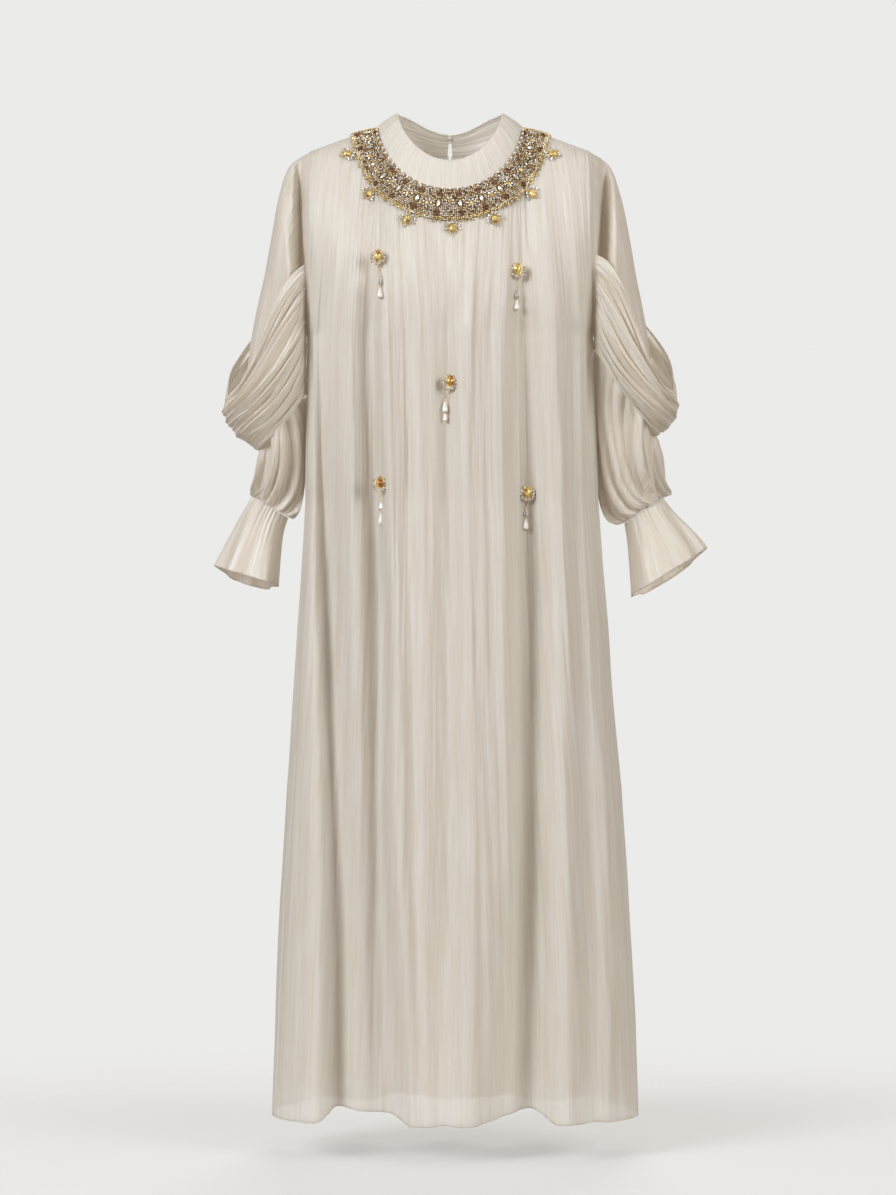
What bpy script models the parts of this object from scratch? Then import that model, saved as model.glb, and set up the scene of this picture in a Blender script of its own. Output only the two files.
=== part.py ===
"""An abaya of crinkled satin chiffon, filled out as if worn and hollow inside.

Each cut piece is a thin wall of cloth: front, back, their linings, a stand collar,
and on each side an upper sleeve, a cowl drape, a bishop lower sleeve and a ruffle.
A beaded band with set stones goes round the neck and five jewels hang on the front.

Sizes are in millimetres. Z is up, the front faces -Y, and left and right are as seen
from the front. The origin is in the middle of the neck, level with the neck points
of the shoulders.
"""

import math
from collections import namedtuple

import bmesh
import bpy
from mathutils import Matrix, Vector
from mathutils.bvhtree import BVHTree

MM = 0.001
UPWARDS = Vector((0, 0, 1))

CLOTH_WALL = 1.2
SEAM_GAP = 0.3
# Two walls that meet at a bend are kept this much further apart, so their insides stay clear.
BEND_GAP = 0.9

# The body of the garment
UNDERARM_HEIGHT = -286.0
HEM_HEIGHT = -1396.0
LINING_INSET = 6.5
LINING_INSET_AT_TOP = 2.6
SECTION_SQUARENESS = 0.7
COLUMNS_TOWARDS_MIDDLE = 0.25
HEM_RISE_IN_FOLD = 0.3
HEM_RISE_POWER = 6
FOLD_FADE_AT_SIDE = 3.0

# The neck and shoulders
NECK_HALF_WIDTH = 101.0
NECK_SHARE = 0.5
NECK_DIP = 1.0
NECK_SQUARENESS = 0.75
NECK_POINT_HEIGHT = 13.0
NECK_FRONT_DEPTH = 82.0
NECK_BACK_DEPTH = 70.0
NECK_FRONT_HEIGHT = -86.0
NECK_BACK_HEIGHT = -22.0
SHOULDER_HALF_WIDTH = 200.0
SHOULDER_HEIGHT = -24.0
ARMHOLE_BULGE = 62.0
ARMHOLE_ROUNDNESS = 0.65
ARMHOLE_BULGE_POWER = 5
# How soon the cloth comes forward and drops below the seam, near the neck and at the shoulder
NEAR_NECK_FORWARD = 2.4
NEAR_NECK_DROP = 1.0
SHOULDER_FORWARD = 3.0
SHOULDER_DROP = 1.35
NECK_TO_SHOULDER_BLEND = 0.3

# The stand collar
COLLAR_HALF_WIDTH = 76.0
COLLAR_FRONT_DEPTH = 68.0
COLLAR_BACK_DEPTH = 62.0
COLLAR_SIDE_HEIGHT = 31.0
COLLAR_FRONT_HEIGHT = -44.0
COLLAR_BACK_HEIGHT = 9.0
COLLAR_DIP = 1.3
COLLAR_OPENING = 9.0
COLLAR_STEPS = 40
COLLAR_LIFT = 1.0
COLLAR_BOW = 2.0
SLIT_WIDTH = 3.6
SLIT_ROWS = 4
LINING_SLIT_ROWS = 2
BUTTON_RADIUS = 4.2
BUTTON_BEHIND = 1.6
BUTTON_DROP = 7.0
LOOP_RADIUS = 4.6
LOOP_CORD = 0.8
LOOP_STEPS = 12
LOOP_BEHIND_BUTTON = 3.8
LOOP_DROP = 1.0

# The beaded band
BAND_COLUMNS = 34
BAND_ROWS = (0.06, 0.36, 0.66, 1.0)
BAND_THICKNESS = 2.6
BAND_RELIEF = 1.6
BAND_LIFT = 1.6
BAND_CRYSTALS = 11
BAND_WIDTH = 42.0
BAND_WIDTH_GAIN_IN_FRONT = 9.0
BAND_END = 88.0
PENDANT_TURNS = (-77, -48, -23, 2, 26, 52, 77)

Level = namedtuple("Level", "height left right front back")
LEVELS = [
    Level(-286, -204, 204, 124, 106),
    Level(-522, -205, 210, 122, 108),
    Level(-662, -213, 221, 128, 116),
    Level(-799, -223, 232, 136, 124),
    Level(-932, -232, 245, 144, 132),
    Level(-1094, -242, 255, 152, 140),
    Level(-1244, -249, 264, 158, 146),
    Level(-1396, -254, 268, 164, 150),
]

# A fold's place and depth at four heights. A depth below nought is a ridge.
FOLD_HEIGHTS = (-300, -650, -1050, -1396)
Fold = namedtuple("Fold", "places reach depths")
FRONT_FOLDS = [
    Fold((-186, -175, -162, -160), (11, 14, 17, 18), (4, 26, 46, 72)),
    Fold((-118, -106, -105, -103), (12, 14, 15, 26), (14, 26, 22, 38)),
    Fold((-90, -83, -74, -63), (10, 11, 12, 15), (-8, -9, -10, -9)),
    Fold((-11, -13, -13, -14), (12, 13, 13, 14), (5, 7, 6, 3)),
    Fold((16, 18, 22, 21), (10, 10, 12, 14), (-4, -4, -4, -3)),
    Fold((56, 53, 63, 70), (10, 11, 12, 12), (5, 6, 6, 2)),
    Fold((99, 108, 111, 108), (13, 16, 19, 24), (13, 34, 54, 68)),
    Fold((141, 150, 151, 157), (12, 12, 13, 14), (-8, -9, -9, -8)),
    Fold((165, 177, 194, 203), (10, 11, 12, 13), (5, 7, 8, 7)),
]
BACK_FOLDS = [
    Fold((-160, -168, -178, -186), (13, 15, 18, 20), (6, 18, 32, 46)),
    Fold((-104, -112, -122, -130), (13, 14, 15, 17), (-6, -8, -9, -9)),
    Fold((-52, -58, -62, -66), (14, 17, 20, 23), (8, 24, 40, 54)),
    Fold((4, 6, 8, 10), (14, 16, 18, 20), (-6, -8, -10, -10)),
    Fold((58, 66, 72, 78), (14, 17, 20, 23), (8, 22, 38, 50)),
    Fold((112, 120, 128, 134), (13, 14, 15, 17), (-5, -7, -9, -9)),
    Fold((158, 172, 188, 198), (13, 15, 17, 19), (6, 16, 28, 42)),
]

# Rows down a panel: shares of the way to the underarm, then heights to the hem.
FRONT_SHARES = (0, 0.05, 0.12, 0.22, 0.36, 0.54, 0.76, 1)
FRONT_HEIGHTS = (-370, -450, -530, -610, -690, -780, -870, -960, -1050, -1140, -1225, -1310, -1396)
BACK_SHARES = (0, 0.05, 0.12, 0.22, 0.38, 0.62, 1)
BACK_HEIGHTS = (-410, -540, -670, -810, -950, -1100, -1250, -1396)
LINING_SHARES = (0.024, 0.12, 0.36, 1)
LINING_HEIGHTS = (-475, -650, -850, -1050, -1225, -1356)
FRONT_COLUMNS = 45
TOP_EDGE_WEIGHT = 0.8
EVEN_STEPS = 600
BACK_COLUMNS = 36

# Sleeve sections: the points nearest to and furthest from the body, seen from the front,
# with the middle's place and the half depths from front to back.
Section = namedtuple("Section", "inner_x inner_z outer_x outer_z middle front back")
UPPER_COLUMNS = 18
UPPER_SLEEVE = {
    "left": [
        Section(209, -287, 229, -45, 0, 46, 50),
        Section(211, -288, 244, -86, 0, 60, 58),
        Section(214, -289, 255, -145, 2, 62, 58),
        Section(217, -292, 265, -200, 4, 58, 52),
        Section(224, -310, 277, -252, 6, 52, 47),
        Section(236, -330, 286, -300, 8, 43, 41),
        Section(252, -350, 291, -345, 10, 35, 35),
    ],
    "right": [
        Section(209, -287, 228, -45, 0, 46, 50),
        Section(211, -288, 245, -92, 0, 60, 58),
        Section(214, -289, 257, -150, 2, 62, 58),
        Section(217, -292, 266, -202, 4, 58, 52),
        Section(224, -310, 275, -245, 6, 52, 47),
        Section(236, -330, 283, -290, 8, 43, 41),
        Section(252, -350, 289, -340, 10, 35, 35),
    ],
}

# The drape: its sections from the free rim down to its lower seam. Each starts at the
# armhole seam in front, goes round the outside of the arm and ends at the seam behind.
Swag = namedtuple("Swag", "inner_z outer_x outer_z middle front back back_lift")
SLEEVE_DRAPE = {
    "left": [
        Swag(-192, 316, -374, 0, 80, 76, 52),
        Swag(-226, 322, -392, 2, 86, 82, 44),
        Swag(-262, 318, -408, 4, 88, 84, 28),
        Swag(-302, 304, -430, 8, 82, 79, 12),
        Swag(-372, 274, -452, 14, 64, 62, 0),
    ],
    "right": [
        Swag(-178, 316, -366, 0, 80, 76, 66),
        Swag(-206, 324, -384, 2, 86, 82, 54),
        Swag(-238, 322, -402, 4, 88, 84, 34),
        Swag(-272, 311, -420, 8, 86, 82, 12),
        Swag(-308, 295, -431, 14, 74, 70, 0),
    ],
}
DRAPE_PLEATS = 5
DRAPE_ROWS = 16
DRAPE_COLUMNS = 19
DRAPE_PLEAT_DEPTH = 4.0
DRAPE_FRONT_SAG = 10.0
DRAPE_SEAM_X = 208.5
DRAPE_SEAM_DROP = 9.0
DRAPE_SEAM_LIFT = 5.6
DRAPE_FULLNESS = 0.42
DRAPE_SEAM_ROUNDNESS = 0.5
DRAPE_LIFT_ROUNDNESS = 0.8
DRAPE_LIFT_OUTWARD = 1.35
# The pleats are shallow at the seam and full from here on towards the outside of the arm.
DRAPE_PLEAT_AT_SEAM = 0.35
DRAPE_PLEAT_SPREAD = 1.6
# The pleats fade out over one sixth of the drape next to its rim and its lower seam.
DRAPE_PLEAT_FADE = 6

LOWER_SLEEVE = {
    "left": [
        Section(208.5, -374, 274, -453.6, 14, 63, 61),
        Section(208.5, -424, 280, -478, 16, 62, 62),
        Section(209.5, -480, 284, -498, 16, 56, 58),
        Section(213, -528, 284, -511, 15, 46, 48),
        Section(222, -549, 283, -516, 14, 35, 36),
        Section(232, -546, 282, -515, 14, 27, 27),
    ],
    "right": [
        Section(209, -310, 295, -432.8, 14, 73, 69),
        Section(209.5, -372, 304, -456, 15, 66, 66),
        Section(210, -440, 308, -482, 16, 60, 62),
        Section(212, -505, 308, -503, 16, 52, 54),
        Section(221, -546, 308, -517, 15, 41, 42),
        Section(236, -558, 308, -514, 14, 32, 32),
        Section(250, -554, 305, -518, 14, 27, 27),
    ],
}
LOWER_PLEATS = 11
LOWER_PLEAT_DEPTH = 3.2
LOWER_COLUMNS = 33

CUFF_RUFFLE = {
    "left": [
        Section(232, -547.5, 283, -516.5, 14, 27, 27),
        Section(239, -570, 298, -543, 14, 32, 32),
        Section(243, -604, 315, -578, 13, 38, 38),
        Section(246, -642, 333, -616, 12, 44, 44),
    ],
    "right": [
        Section(250, -555, 305, -519, 14, 27, 27),
        Section(254, -578, 319, -539, 14, 32, 32),
        Section(257, -617, 341, -563, 13, 38, 38),
        Section(260, -656, 363, -592, 12, 44, 44),
    ],
}
RUFFLE_WAVES = 6
RUFFLE_WAVE_DEPTH = 5.0
RUFFLE_COLUMNS = 30
RUFFLE_BACK_DROP = 14.0

# Jewels on the front: the set stone's place, and the place and length of its drop.
Jewel = namedtuple("Jewel", "x z drop_x drop_z drop_length")
CHEST_JEWELS = [
    Jewel(-101, -187, -98, -229, 32),
    Jewel(95, -205, 94, -247, 26),
    Jewel(0, -363, -6, -402, 30),
    Jewel(-98, -505, -97, -543, 36),
    Jewel(109, -517, 107, -551, 32),
]
STONE_HALF_WIDTH = 6.0
STONE_HALF_HEIGHT = 9.0
STONE_HALF_DEPTH = 3.0
DROP_HALF_WIDTH = 3.6
PENDANT_HALF_LENGTH = 10.0
PENDANT_HALF_WIDTH = 5.5
PENDANT_GAP = 1.5
WALK_STEP = 4.0
NECK_STEP = 0.002
FRONT_OF_ALL = -400.0
BEAD_SEGMENTS = 8
BEAD_RINGS = 5
# The rings of a stone, as shares of its half width, that are tried against the cloth
STONE_RINGS = (0.4, 0.6, 0.8, 0.92)
STONE_TRIES = 16
STONE_GAP = 0.45


def blend(places, values, at):
    """The value at a place between the listed ones, which run from high to low."""
    if at >= places[0]:
        return values[0]
    for high, low, first, second in zip(places, places[1:], values, values[1:]):
        if at >= low:
            share = (high - at) / (high - low)
            return first + (second - first) * share
    return values[-1]


def fold_depth(folds, x, height):
    """How far the folds carry the cloth inwards at this place."""
    depth = 0.0
    for fold in folds:
        place = blend(FOLD_HEIGHTS, fold.places, height)
        reach = blend(FOLD_HEIGHTS, fold.reach, height)
        deepest = blend(FOLD_HEIGHTS, fold.depths, height)
        depth += deepest * math.exp(-0.5 * ((x - place) / reach) ** 2)
    return depth


def body_point(face, across, height):
    """A point on the body. face is -1 for the front and 1 for the back."""
    heights = [level.height for level in LEVELS]
    left = blend(heights, [level.left for level in LEVELS], height)
    right = blend(heights, [level.right for level in LEVELS], height)
    depths = [level.front if face < 0 else level.back for level in LEVELS]
    crowded = across * (1 - COLUMNS_TOWARDS_MIDDLE) + COLUMNS_TOWARDS_MIDDLE * across ** 3
    turn = math.pi / 2 * crowded
    x = (left + right) / 2 + (right - left) / 2 * math.sin(turn)
    open_face = max(math.cos(turn), 0.0)
    folds = FRONT_FOLDS if face < 0 else BACK_FOLDS
    inward = fold_depth(folds, x, height) * min(1.0, open_face * FOLD_FADE_AT_SIDE)
    depth = blend(heights, depths, height) * open_face ** SECTION_SQUARENESS - inward
    towards_hem = max(0.0, (UNDERARM_HEIGHT - height) / (UNDERARM_HEIGHT - HEM_HEIGHT))
    rise = max(inward, 0.0) * HEM_RISE_IN_FOLD * towards_hem ** HEM_RISE_POWER
    return Vector((x, face * max(depth, SEAM_GAP), height + rise))


def top_edge(face, across):
    """A point on a panel's top edge: the neckline, then the shoulder seam on each side."""
    side = 1 if across > 0 else -1
    if abs(across) <= NECK_SHARE:
        angle = across / NECK_SHARE * math.pi / 2
        depth = NECK_FRONT_DEPTH if face < 0 else NECK_BACK_DEPTH
        lowest = NECK_FRONT_HEIGHT if face < 0 else NECK_BACK_HEIGHT
        y = face * (BEND_GAP + depth * math.cos(angle) ** NECK_SQUARENESS)
        z = NECK_POINT_HEIGHT + (lowest - NECK_POINT_HEIGHT) * math.cos(angle) ** NECK_DIP
        return Vector((NECK_HALF_WIDTH * math.sin(angle), y, z))
    share = (abs(across) - NECK_SHARE) / (1 - NECK_SHARE)
    x = NECK_HALF_WIDTH + (SHOULDER_HALF_WIDTH - NECK_HALF_WIDTH) * share
    z = NECK_POINT_HEIGHT + (SHOULDER_HEIGHT - NECK_POINT_HEIGHT) * share
    return Vector((side * x, face * BEND_GAP, z))


def armhole_bulge(share):
    """How far the armhole's edge stands forward of the seams at its top and bottom."""
    return ARMHOLE_BULGE * max(math.sin(math.pi * share), 0.0) ** ARMHOLE_ROUNDNESS


def chest_point(face, across, share):
    """A point between the top edge and the underarm, where the panel is cut for the armhole."""
    top = top_edge(face, across)
    low = body_point(face, across, UNDERARM_HEIGHT)
    flat_low = low.y + face * fold_depth(FRONT_FOLDS if face < 0 else BACK_FOLDS, low.x, UNDERARM_HEIGHT)
    fold = low.y - flat_low
    off_neck = min(max((abs(across) - NECK_SHARE) / NECK_TO_SHOULDER_BLEND, 0.0), 1.0)
    x = top.x + (low.x - top.x) * share
    forward = 1 - (1 - share) ** (NEAR_NECK_FORWARD + (SHOULDER_FORWARD - NEAR_NECK_FORWARD) * off_neck)
    y = top.y + (flat_low - top.y) * forward + fold * share ** 2
    y += face * armhole_bulge(share) * abs(across) ** ARMHOLE_BULGE_POWER
    if abs(across) == 1:
        y = face * (max(BEND_GAP * (1 - share), SEAM_GAP) + armhole_bulge(share))
    drop = share ** (NEAR_NECK_DROP + (SHOULDER_DROP - NEAR_NECK_DROP) * off_neck)
    return Vector((x, y, top.z + (low.z - top.z) * drop))


def even_columns(face, count):
    """Places across a panel, evenly spaced along its hem and top edge taken together."""
    steps = EVEN_STEPS
    places = [-1 + 2 * step / steps for step in range(steps + 1)]
    hem = [body_point(face, place, HEM_HEIGHT) for place in places]
    top = [top_edge(face, place) for place in places]
    run = [0.0]
    for index in range(steps):
        step = (hem[index + 1] - hem[index]).length
        step += (top[index + 1] - top[index]).length * TOP_EDGE_WEIGHT
        run.append(run[-1] + step)
    columns = []
    index = 0
    for column in range(count):
        wanted = run[-1] * column / (count - 1)
        while index < steps - 1 and run[index + 1] < wanted:
            index += 1
        share = (wanted - run[index]) / (run[index + 1] - run[index])
        columns.append(places[index] + (places[index + 1] - places[index]) * share)
    columns[0] = -1
    columns[-1] = 1
    return columns


def panel_rows(face, columns, shares, heights):
    """All the points of a front or back panel, row by row from the top."""
    rows = [[chest_point(face, across, share) for across in columns] for share in shares]
    rows += [[body_point(face, across, height) for across in columns] for height in heights]
    return rows


def moved_in(rows, face, inset_at):
    """The rows of a panel moved towards the inside, square to the cloth."""
    moved = []
    for row_index, row in enumerate(rows):
        above = rows[max(row_index - 1, 0)]
        below = rows[min(row_index + 1, len(rows) - 1)]
        line = []
        for index, point in enumerate(row):
            before = row[max(index - 1, 0)]
            after = row[min(index + 1, len(row) - 1)]
            square = (after - before).cross(above[index] - below[index]).normalized() * face
            line.append(point + square * inset_at[row_index])
        for point in (line[0], line[-1]):
            point.y = face * max(abs(point.y), SEAM_GAP)
        moved.append(line)
    return moved


def material(name, colour, roughness, metallic=0.0):
    finish = bpy.data.materials.new(name)
    finish.use_nodes = True
    shader = finish.node_tree.nodes["Principled BSDF"]
    shader.inputs["Base Color"].default_value = (*colour, 1.0)
    shader.inputs["Roughness"].default_value = roughness
    shader.inputs["Metallic"].default_value = metallic
    return finish


def add_object(name, mesh, finish):
    mesh.materials.append(finish)
    mesh.shade_smooth()
    piece = bpy.data.objects.new(name, mesh)
    garment.objects.link(piece)
    return piece


def grid_mesh(name, rows, outward, closed=False, missing=()):
    """A surface through rows of points, with its faces turned outwards."""
    form = bmesh.new()
    grid = [[form.verts.new(point * MM) for point in row] for row in rows]
    columns = len(rows[0])
    for row in range(len(rows) - 1):
        for column in range(columns if closed else columns - 1):
            if (row, column) in missing:
                continue
            after = (column + 1) % columns
            corners = [grid[row][column], grid[row + 1][column], grid[row + 1][after], grid[row][after]]
            if outward < 0:
                corners.reverse()
            form.faces.new(corners)
    mesh = bpy.data.meshes.new(name)
    form.to_mesh(mesh)
    form.free()
    return mesh


def cloth_wall(name, rows, finish, outward, closed=False, missing=(), thickness=CLOTH_WALL):
    """A cut piece of cloth: a surface thickened towards the inside of the garment."""
    piece = add_object(name, grid_mesh(name, rows, outward, closed, missing), finish)
    solidify = piece.modifiers.new("Cloth", "SOLIDIFY")
    solidify.thickness = thickness * MM
    solidify.offset = -1
    return piece


def sleeve_ring(side, section, columns, pleats=0, pleat_depth=0.0, back_drop=0.0):
    """A closed ring of points round the arm, starting next to the body."""
    ring = []
    for column in range(columns):
        turn = 2 * math.pi * column / columns
        swell = 1 + pleat_depth * math.cos(pleats * turn) / section.front
        reach = math.cos(turn) * swell
        x = (section.inner_x + section.outer_x) / 2 + (section.inner_x - section.outer_x) / 2 * reach
        z = (section.inner_z + section.outer_z) / 2 + (section.inner_z - section.outer_z) / 2 * reach
        depth = section.front if math.sin(turn) > 0 else section.back
        y = section.middle - depth * math.sin(turn) * swell
        z -= back_drop * max(0.0, -math.sin(turn))
        ring.append(Vector((side * max(x, section.inner_x), y, z)))
    return ring


def armhole_ring(side, columns):
    """The armhole's edge on the front and back panels, moved out to the sleeve's side of the seam."""
    ring = []
    for column in range(columns):
        turn = 2 * math.pi * column / columns
        face = -1 if math.sin(turn) >= 0 else 1
        point = chest_point(face, side, (1 + math.cos(turn)) / 2)
        if column in (0, columns // 2):
            point.y = 0
        ring.append(point + Vector((side * (BEND_GAP + SEAM_GAP), 0, 0)))
    return ring


def drape_seam(height):
    """How far the drape's seam, just outside the armhole's, stands from the side seam."""
    top = top_edge(-1, 1).z
    bottom = UNDERARM_HEIGHT - DRAPE_SEAM_DROP
    if height <= bottom:
        return SEAM_GAP * 2
    share = ((top - height) / (top - bottom)) ** (1 / SHOULDER_DROP)
    lift = DRAPE_SEAM_LIFT * math.sin(math.pi * share) ** DRAPE_SEAM_ROUNDNESS
    return lift + armhole_bulge(share) + SEAM_GAP * 2


def swag_row(side, swag, columns, pleat):
    """One line of the drape, from the seam in front, round the arm, to the seam behind."""
    seam = drape_seam(swag.inner_z)
    row = []
    for column in range(columns):
        run = column / (columns - 1) * 2 - 1
        depth = swag.front if run < 0 else swag.back
        start = math.asin((seam / depth) ** (1 / DRAPE_FULLNESS))
        turn = start + (math.pi - start) * (1 - abs(run))
        share = (math.cos(start) - math.cos(turn)) / (math.cos(start) + 1)
        from_seam = 1 - abs(run)
        spread = math.sin(math.pi / 2 * min(1.0, from_seam * DRAPE_PLEAT_SPREAD))
        out = pleat * (DRAPE_PLEAT_AT_SEAM + (1 - DRAPE_PLEAT_AT_SEAM) * spread)
        x = DRAPE_SEAM_X + (swag.outer_x - DRAPE_SEAM_X + out) * share
        y = math.copysign(depth + out, run) * math.sin(turn) ** DRAPE_FULLNESS
        y += swag.middle * math.sin(math.pi / 2 * from_seam)
        z = swag.inner_z + (swag.outer_z - swag.inner_z) * share
        lift = swag.back_lift if run > 0 else -DRAPE_FRONT_SAG
        outward = max(share, 0.0) ** DRAPE_LIFT_OUTWARD
        z += lift * max(math.sin(math.pi * outward), 0.0) ** DRAPE_LIFT_ROUNDNESS
        row.append(Vector((side * x, y, z)))
    return row


def drape_rows(side, table):
    """The drape's lines, with pleats that run along its rim."""
    stops = [-index for index in range(len(table))]
    rows = []
    for index in range(DRAPE_ROWS):
        place = index / (DRAPE_ROWS - 1)
        at = -place * (len(table) - 1)
        mixed = [blend(stops, [swag[field] for swag in table], at) for field in range(len(Swag._fields))]
        from_edge = min(place, 1 - place)
        fade = math.sin(math.pi / 2 * min(1.0, from_edge * DRAPE_PLEAT_FADE))
        pleat = DRAPE_PLEAT_DEPTH * math.cos(2 * math.pi * DRAPE_PLEATS * place) * fade
        rows.append(swag_row(side, Swag(*mixed), DRAPE_COLUMNS, pleat))
    return rows


def band_width(turn):
    """The beaded band is a little wider in front than on the shoulders."""
    return BAND_WIDTH + BAND_WIDTH_GAIN_IN_FRONT * math.cos(turn) ** 2


def walk_from_neck(surface, turn, distance):
    """The place on the front that lies this far from the neckline, measured over the cloth."""
    place = turn / (math.pi / 2) * NECK_SHARE
    point = top_edge(-1, place)
    along = top_edge(-1, place + NECK_STEP) - top_edge(-1, place - NECK_STEP)
    steps = max(1, round(distance / WALK_STEP))
    for _ in range(steps):
        point, square = nearest(surface, point)
        outwards = along.cross(square).normalized()
        point = point + outwards * (distance / steps)
    point, square = nearest(surface, point)
    return point, square, outwards


def band_rows(surface):
    """The band's outer points: the front's own points, moved out, with raised crystals."""
    rows = []
    for across in BAND_ROWS:
        row = []
        for column in range(BAND_COLUMNS):
            share = column / (BAND_COLUMNS - 1)
            turn = math.radians(BAND_END * (2 * share - 1))
            crystal = max(0.0, math.cos(2 * math.pi * BAND_CRYSTALS * share))
            relief = BAND_RELIEF * crystal if BAND_ROWS[0] < across < BAND_ROWS[-1] else 0.0
            spot, square, _ = walk_from_neck(surface, turn, band_width(turn) * across)
            row.append(spot + square * (BAND_LIFT + BAND_THICKNESS + relief))
        rows.append(row)
    return rows


def nearest(surface, point):
    """The closest point of a panel's surface and the direction square to it."""
    spot, square, _, _ = surface.find_nearest(point * MM)
    return spot / MM, square


def in_front_of(surface, x, z):
    """Where a line from the front meets the panel, and the direction square to it."""
    spot, square, _, _ = surface.ray_cast(Vector((x, FRONT_OF_ALL, z)) * MM, Vector((0, 1, 0)))
    return spot / MM, square


def seat_on(surface, spot, square, along, sizes):
    """The middle of a rounded stone that rests on the cloth, clear of it all round."""
    sideways = along.cross(square).normalized()
    downwards = along.normalized()
    lift = 0.0
    for ring in STONE_RINGS:
        clear = sizes[1] * (1 - math.sqrt(1 - ring ** 2))
        for step in range(STONE_TRIES):
            turn = 2 * math.pi * step / STONE_TRIES
            along_width = sideways * (math.cos(turn) * sizes[0] * ring)
            along_length = downwards * (math.sin(turn) * sizes[2] * ring)
            under, _ = nearest(surface, spot + along_width + along_length)
            lift = max(lift, (under - spot).dot(square) - clear)
    return spot + square * (sizes[1] + STONE_GAP + lift)


def bead(name, middle, square, along, sizes, finish):
    """A rounded stone or drop that lies on the cloth."""
    mesh = bpy.data.meshes.new(name)
    form = bmesh.new()
    bmesh.ops.create_uvsphere(form, u_segments=BEAD_SEGMENTS, v_segments=BEAD_RINGS, radius=1)
    square = square.normalized()
    along = (along - square * along.dot(square)).normalized()
    sideways = along.cross(square)
    turn = Matrix((sideways, square, along)).transposed().to_4x4()
    bmesh.ops.scale(form, vec=Vector(sizes) * MM, verts=form.verts)
    bmesh.ops.transform(form, matrix=Matrix.Translation(middle * MM) @ turn, verts=form.verts)
    bmesh.ops.recalc_face_normals(form, faces=form.faces)
    form.to_mesh(mesh)
    form.free()
    return add_object(name, mesh, finish)


def ring_about(name, middle, radius, cord, finish):
    """A small closed loop of cord in a plane that faces front and back."""
    path = bpy.data.curves.new(name, "CURVE")
    path.dimensions = "3D"
    path.bevel_depth = cord * MM
    path.bevel_resolution = 1
    spline = path.splines.new("POLY")
    spline.points.add(LOOP_STEPS - 1)
    for index, point in enumerate(spline.points):
        turn = 2 * math.pi * index / LOOP_STEPS
        place = (middle + Vector((radius * math.cos(turn), 0, radius * math.sin(turn)))) * MM
        point.co = (*place, 1)
    spline.use_cyclic_u = True
    path.materials.append(finish)
    piece = bpy.data.objects.new(name, path)
    garment.objects.link(piece)
    return piece


def collar_point(turn, share):
    """A point of the stand collar. turn is 0 at the front and half a turn at the back."""
    face = -1 if math.cos(turn) > 0 else 1
    side = 1 if math.sin(turn) > 0 else -1
    quarter = abs(turn) if face < 0 else math.pi - abs(turn)
    base = top_edge(face, side * quarter / (math.pi / 2) * NECK_SHARE)
    base.y -= face * BEND_GAP
    base += Vector((-math.sin(turn), math.cos(turn), 0)) * SEAM_GAP * 2 + UPWARDS * COLLAR_LIFT
    depth = COLLAR_FRONT_DEPTH if face < 0 else COLLAR_BACK_DEPTH
    lowest = COLLAR_FRONT_HEIGHT if face < 0 else COLLAR_BACK_HEIGHT
    dip = abs(math.cos(turn)) ** COLLAR_DIP
    top = Vector((
        COLLAR_HALF_WIDTH * math.sin(turn),
        face * depth * abs(math.cos(turn)) ** NECK_SQUARENESS,
        COLLAR_SIDE_HEIGHT + (lowest - COLLAR_SIDE_HEIGHT) * dip,
    ))
    bow = Vector((math.sin(turn), -math.cos(turn), 0)) * COLLAR_BOW * math.sin(math.pi * share)
    return base + (top - base) * share + bow


def surface_of(piece):
    """The outside of a panel before it is thickened, for what lies on it."""
    points = [vertex.co.copy() for vertex in piece.data.vertices]
    faces = [tuple(face.vertices) for face in piece.data.polygons]
    return BVHTree.FromPolygons(points, faces)


for old in list(bpy.data.objects):
    bpy.data.objects.remove(old, do_unlink=True)

garment = bpy.data.collections.new("Abaya")
bpy.context.scene.collection.children.link(garment)

satin_chiffon = material("crinkled_satin_chiffon", (0.78, 0.74, 0.68), 0.42)
lining_cloth = material("lining_voile", (0.72, 0.66, 0.58), 0.6)
bead_gold = material("seed_bead_gold", (0.55, 0.40, 0.20), 0.35, 0.8)
amber = material("amber_glass", (0.45, 0.20, 0.06), 0.12)
pearl = material("pearl_glass", (0.82, 0.78, 0.74), 0.2)

# Front panel
front_columns = even_columns(-1, FRONT_COLUMNS)
front_rows = panel_rows(-1, front_columns, FRONT_SHARES, FRONT_HEIGHTS)
front = cloth_wall("front", front_rows, satin_chiffon, outward=1)

# Back panel, slit at the middle below the collar
slit_place = SLIT_WIDTH / 2 / NECK_HALF_WIDTH / (math.pi / 2) * NECK_SHARE
half_columns = [place for place in even_columns(1, BACK_COLUMNS) if place > slit_place * 2]
back_columns = [-place for place in reversed(half_columns)] + [-slit_place, slit_place] + half_columns
back_rows = panel_rows(1, back_columns, BACK_SHARES, BACK_HEIGHTS)
slit_faces = {(row, len(half_columns)) for row in range(SLIT_ROWS)}
cloth_wall("back", back_rows, satin_chiffon, outward=-1, missing=slit_faces)

# Linings, cut like the panels and hung just inside them, with a higher hem
lining_insets = [LINING_INSET_AT_TOP] + [LINING_INSET] * (len(LINING_SHARES) + len(LINING_HEIGHTS) - 1)
front_lining_rows = panel_rows(-1, front_columns, LINING_SHARES, LINING_HEIGHTS)
cloth_wall("lining_front", moved_in(front_lining_rows, -1, lining_insets), lining_cloth, outward=1)
back_lining_rows = panel_rows(1, back_columns, LINING_SHARES, LINING_HEIGHTS)
lining_slit = {(row, len(half_columns)) for row in range(LINING_SLIT_ROWS)}
back_lining = moved_in(back_lining_rows, 1, lining_insets)
cloth_wall("lining_back", back_lining, lining_cloth, outward=-1, missing=lining_slit)

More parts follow.
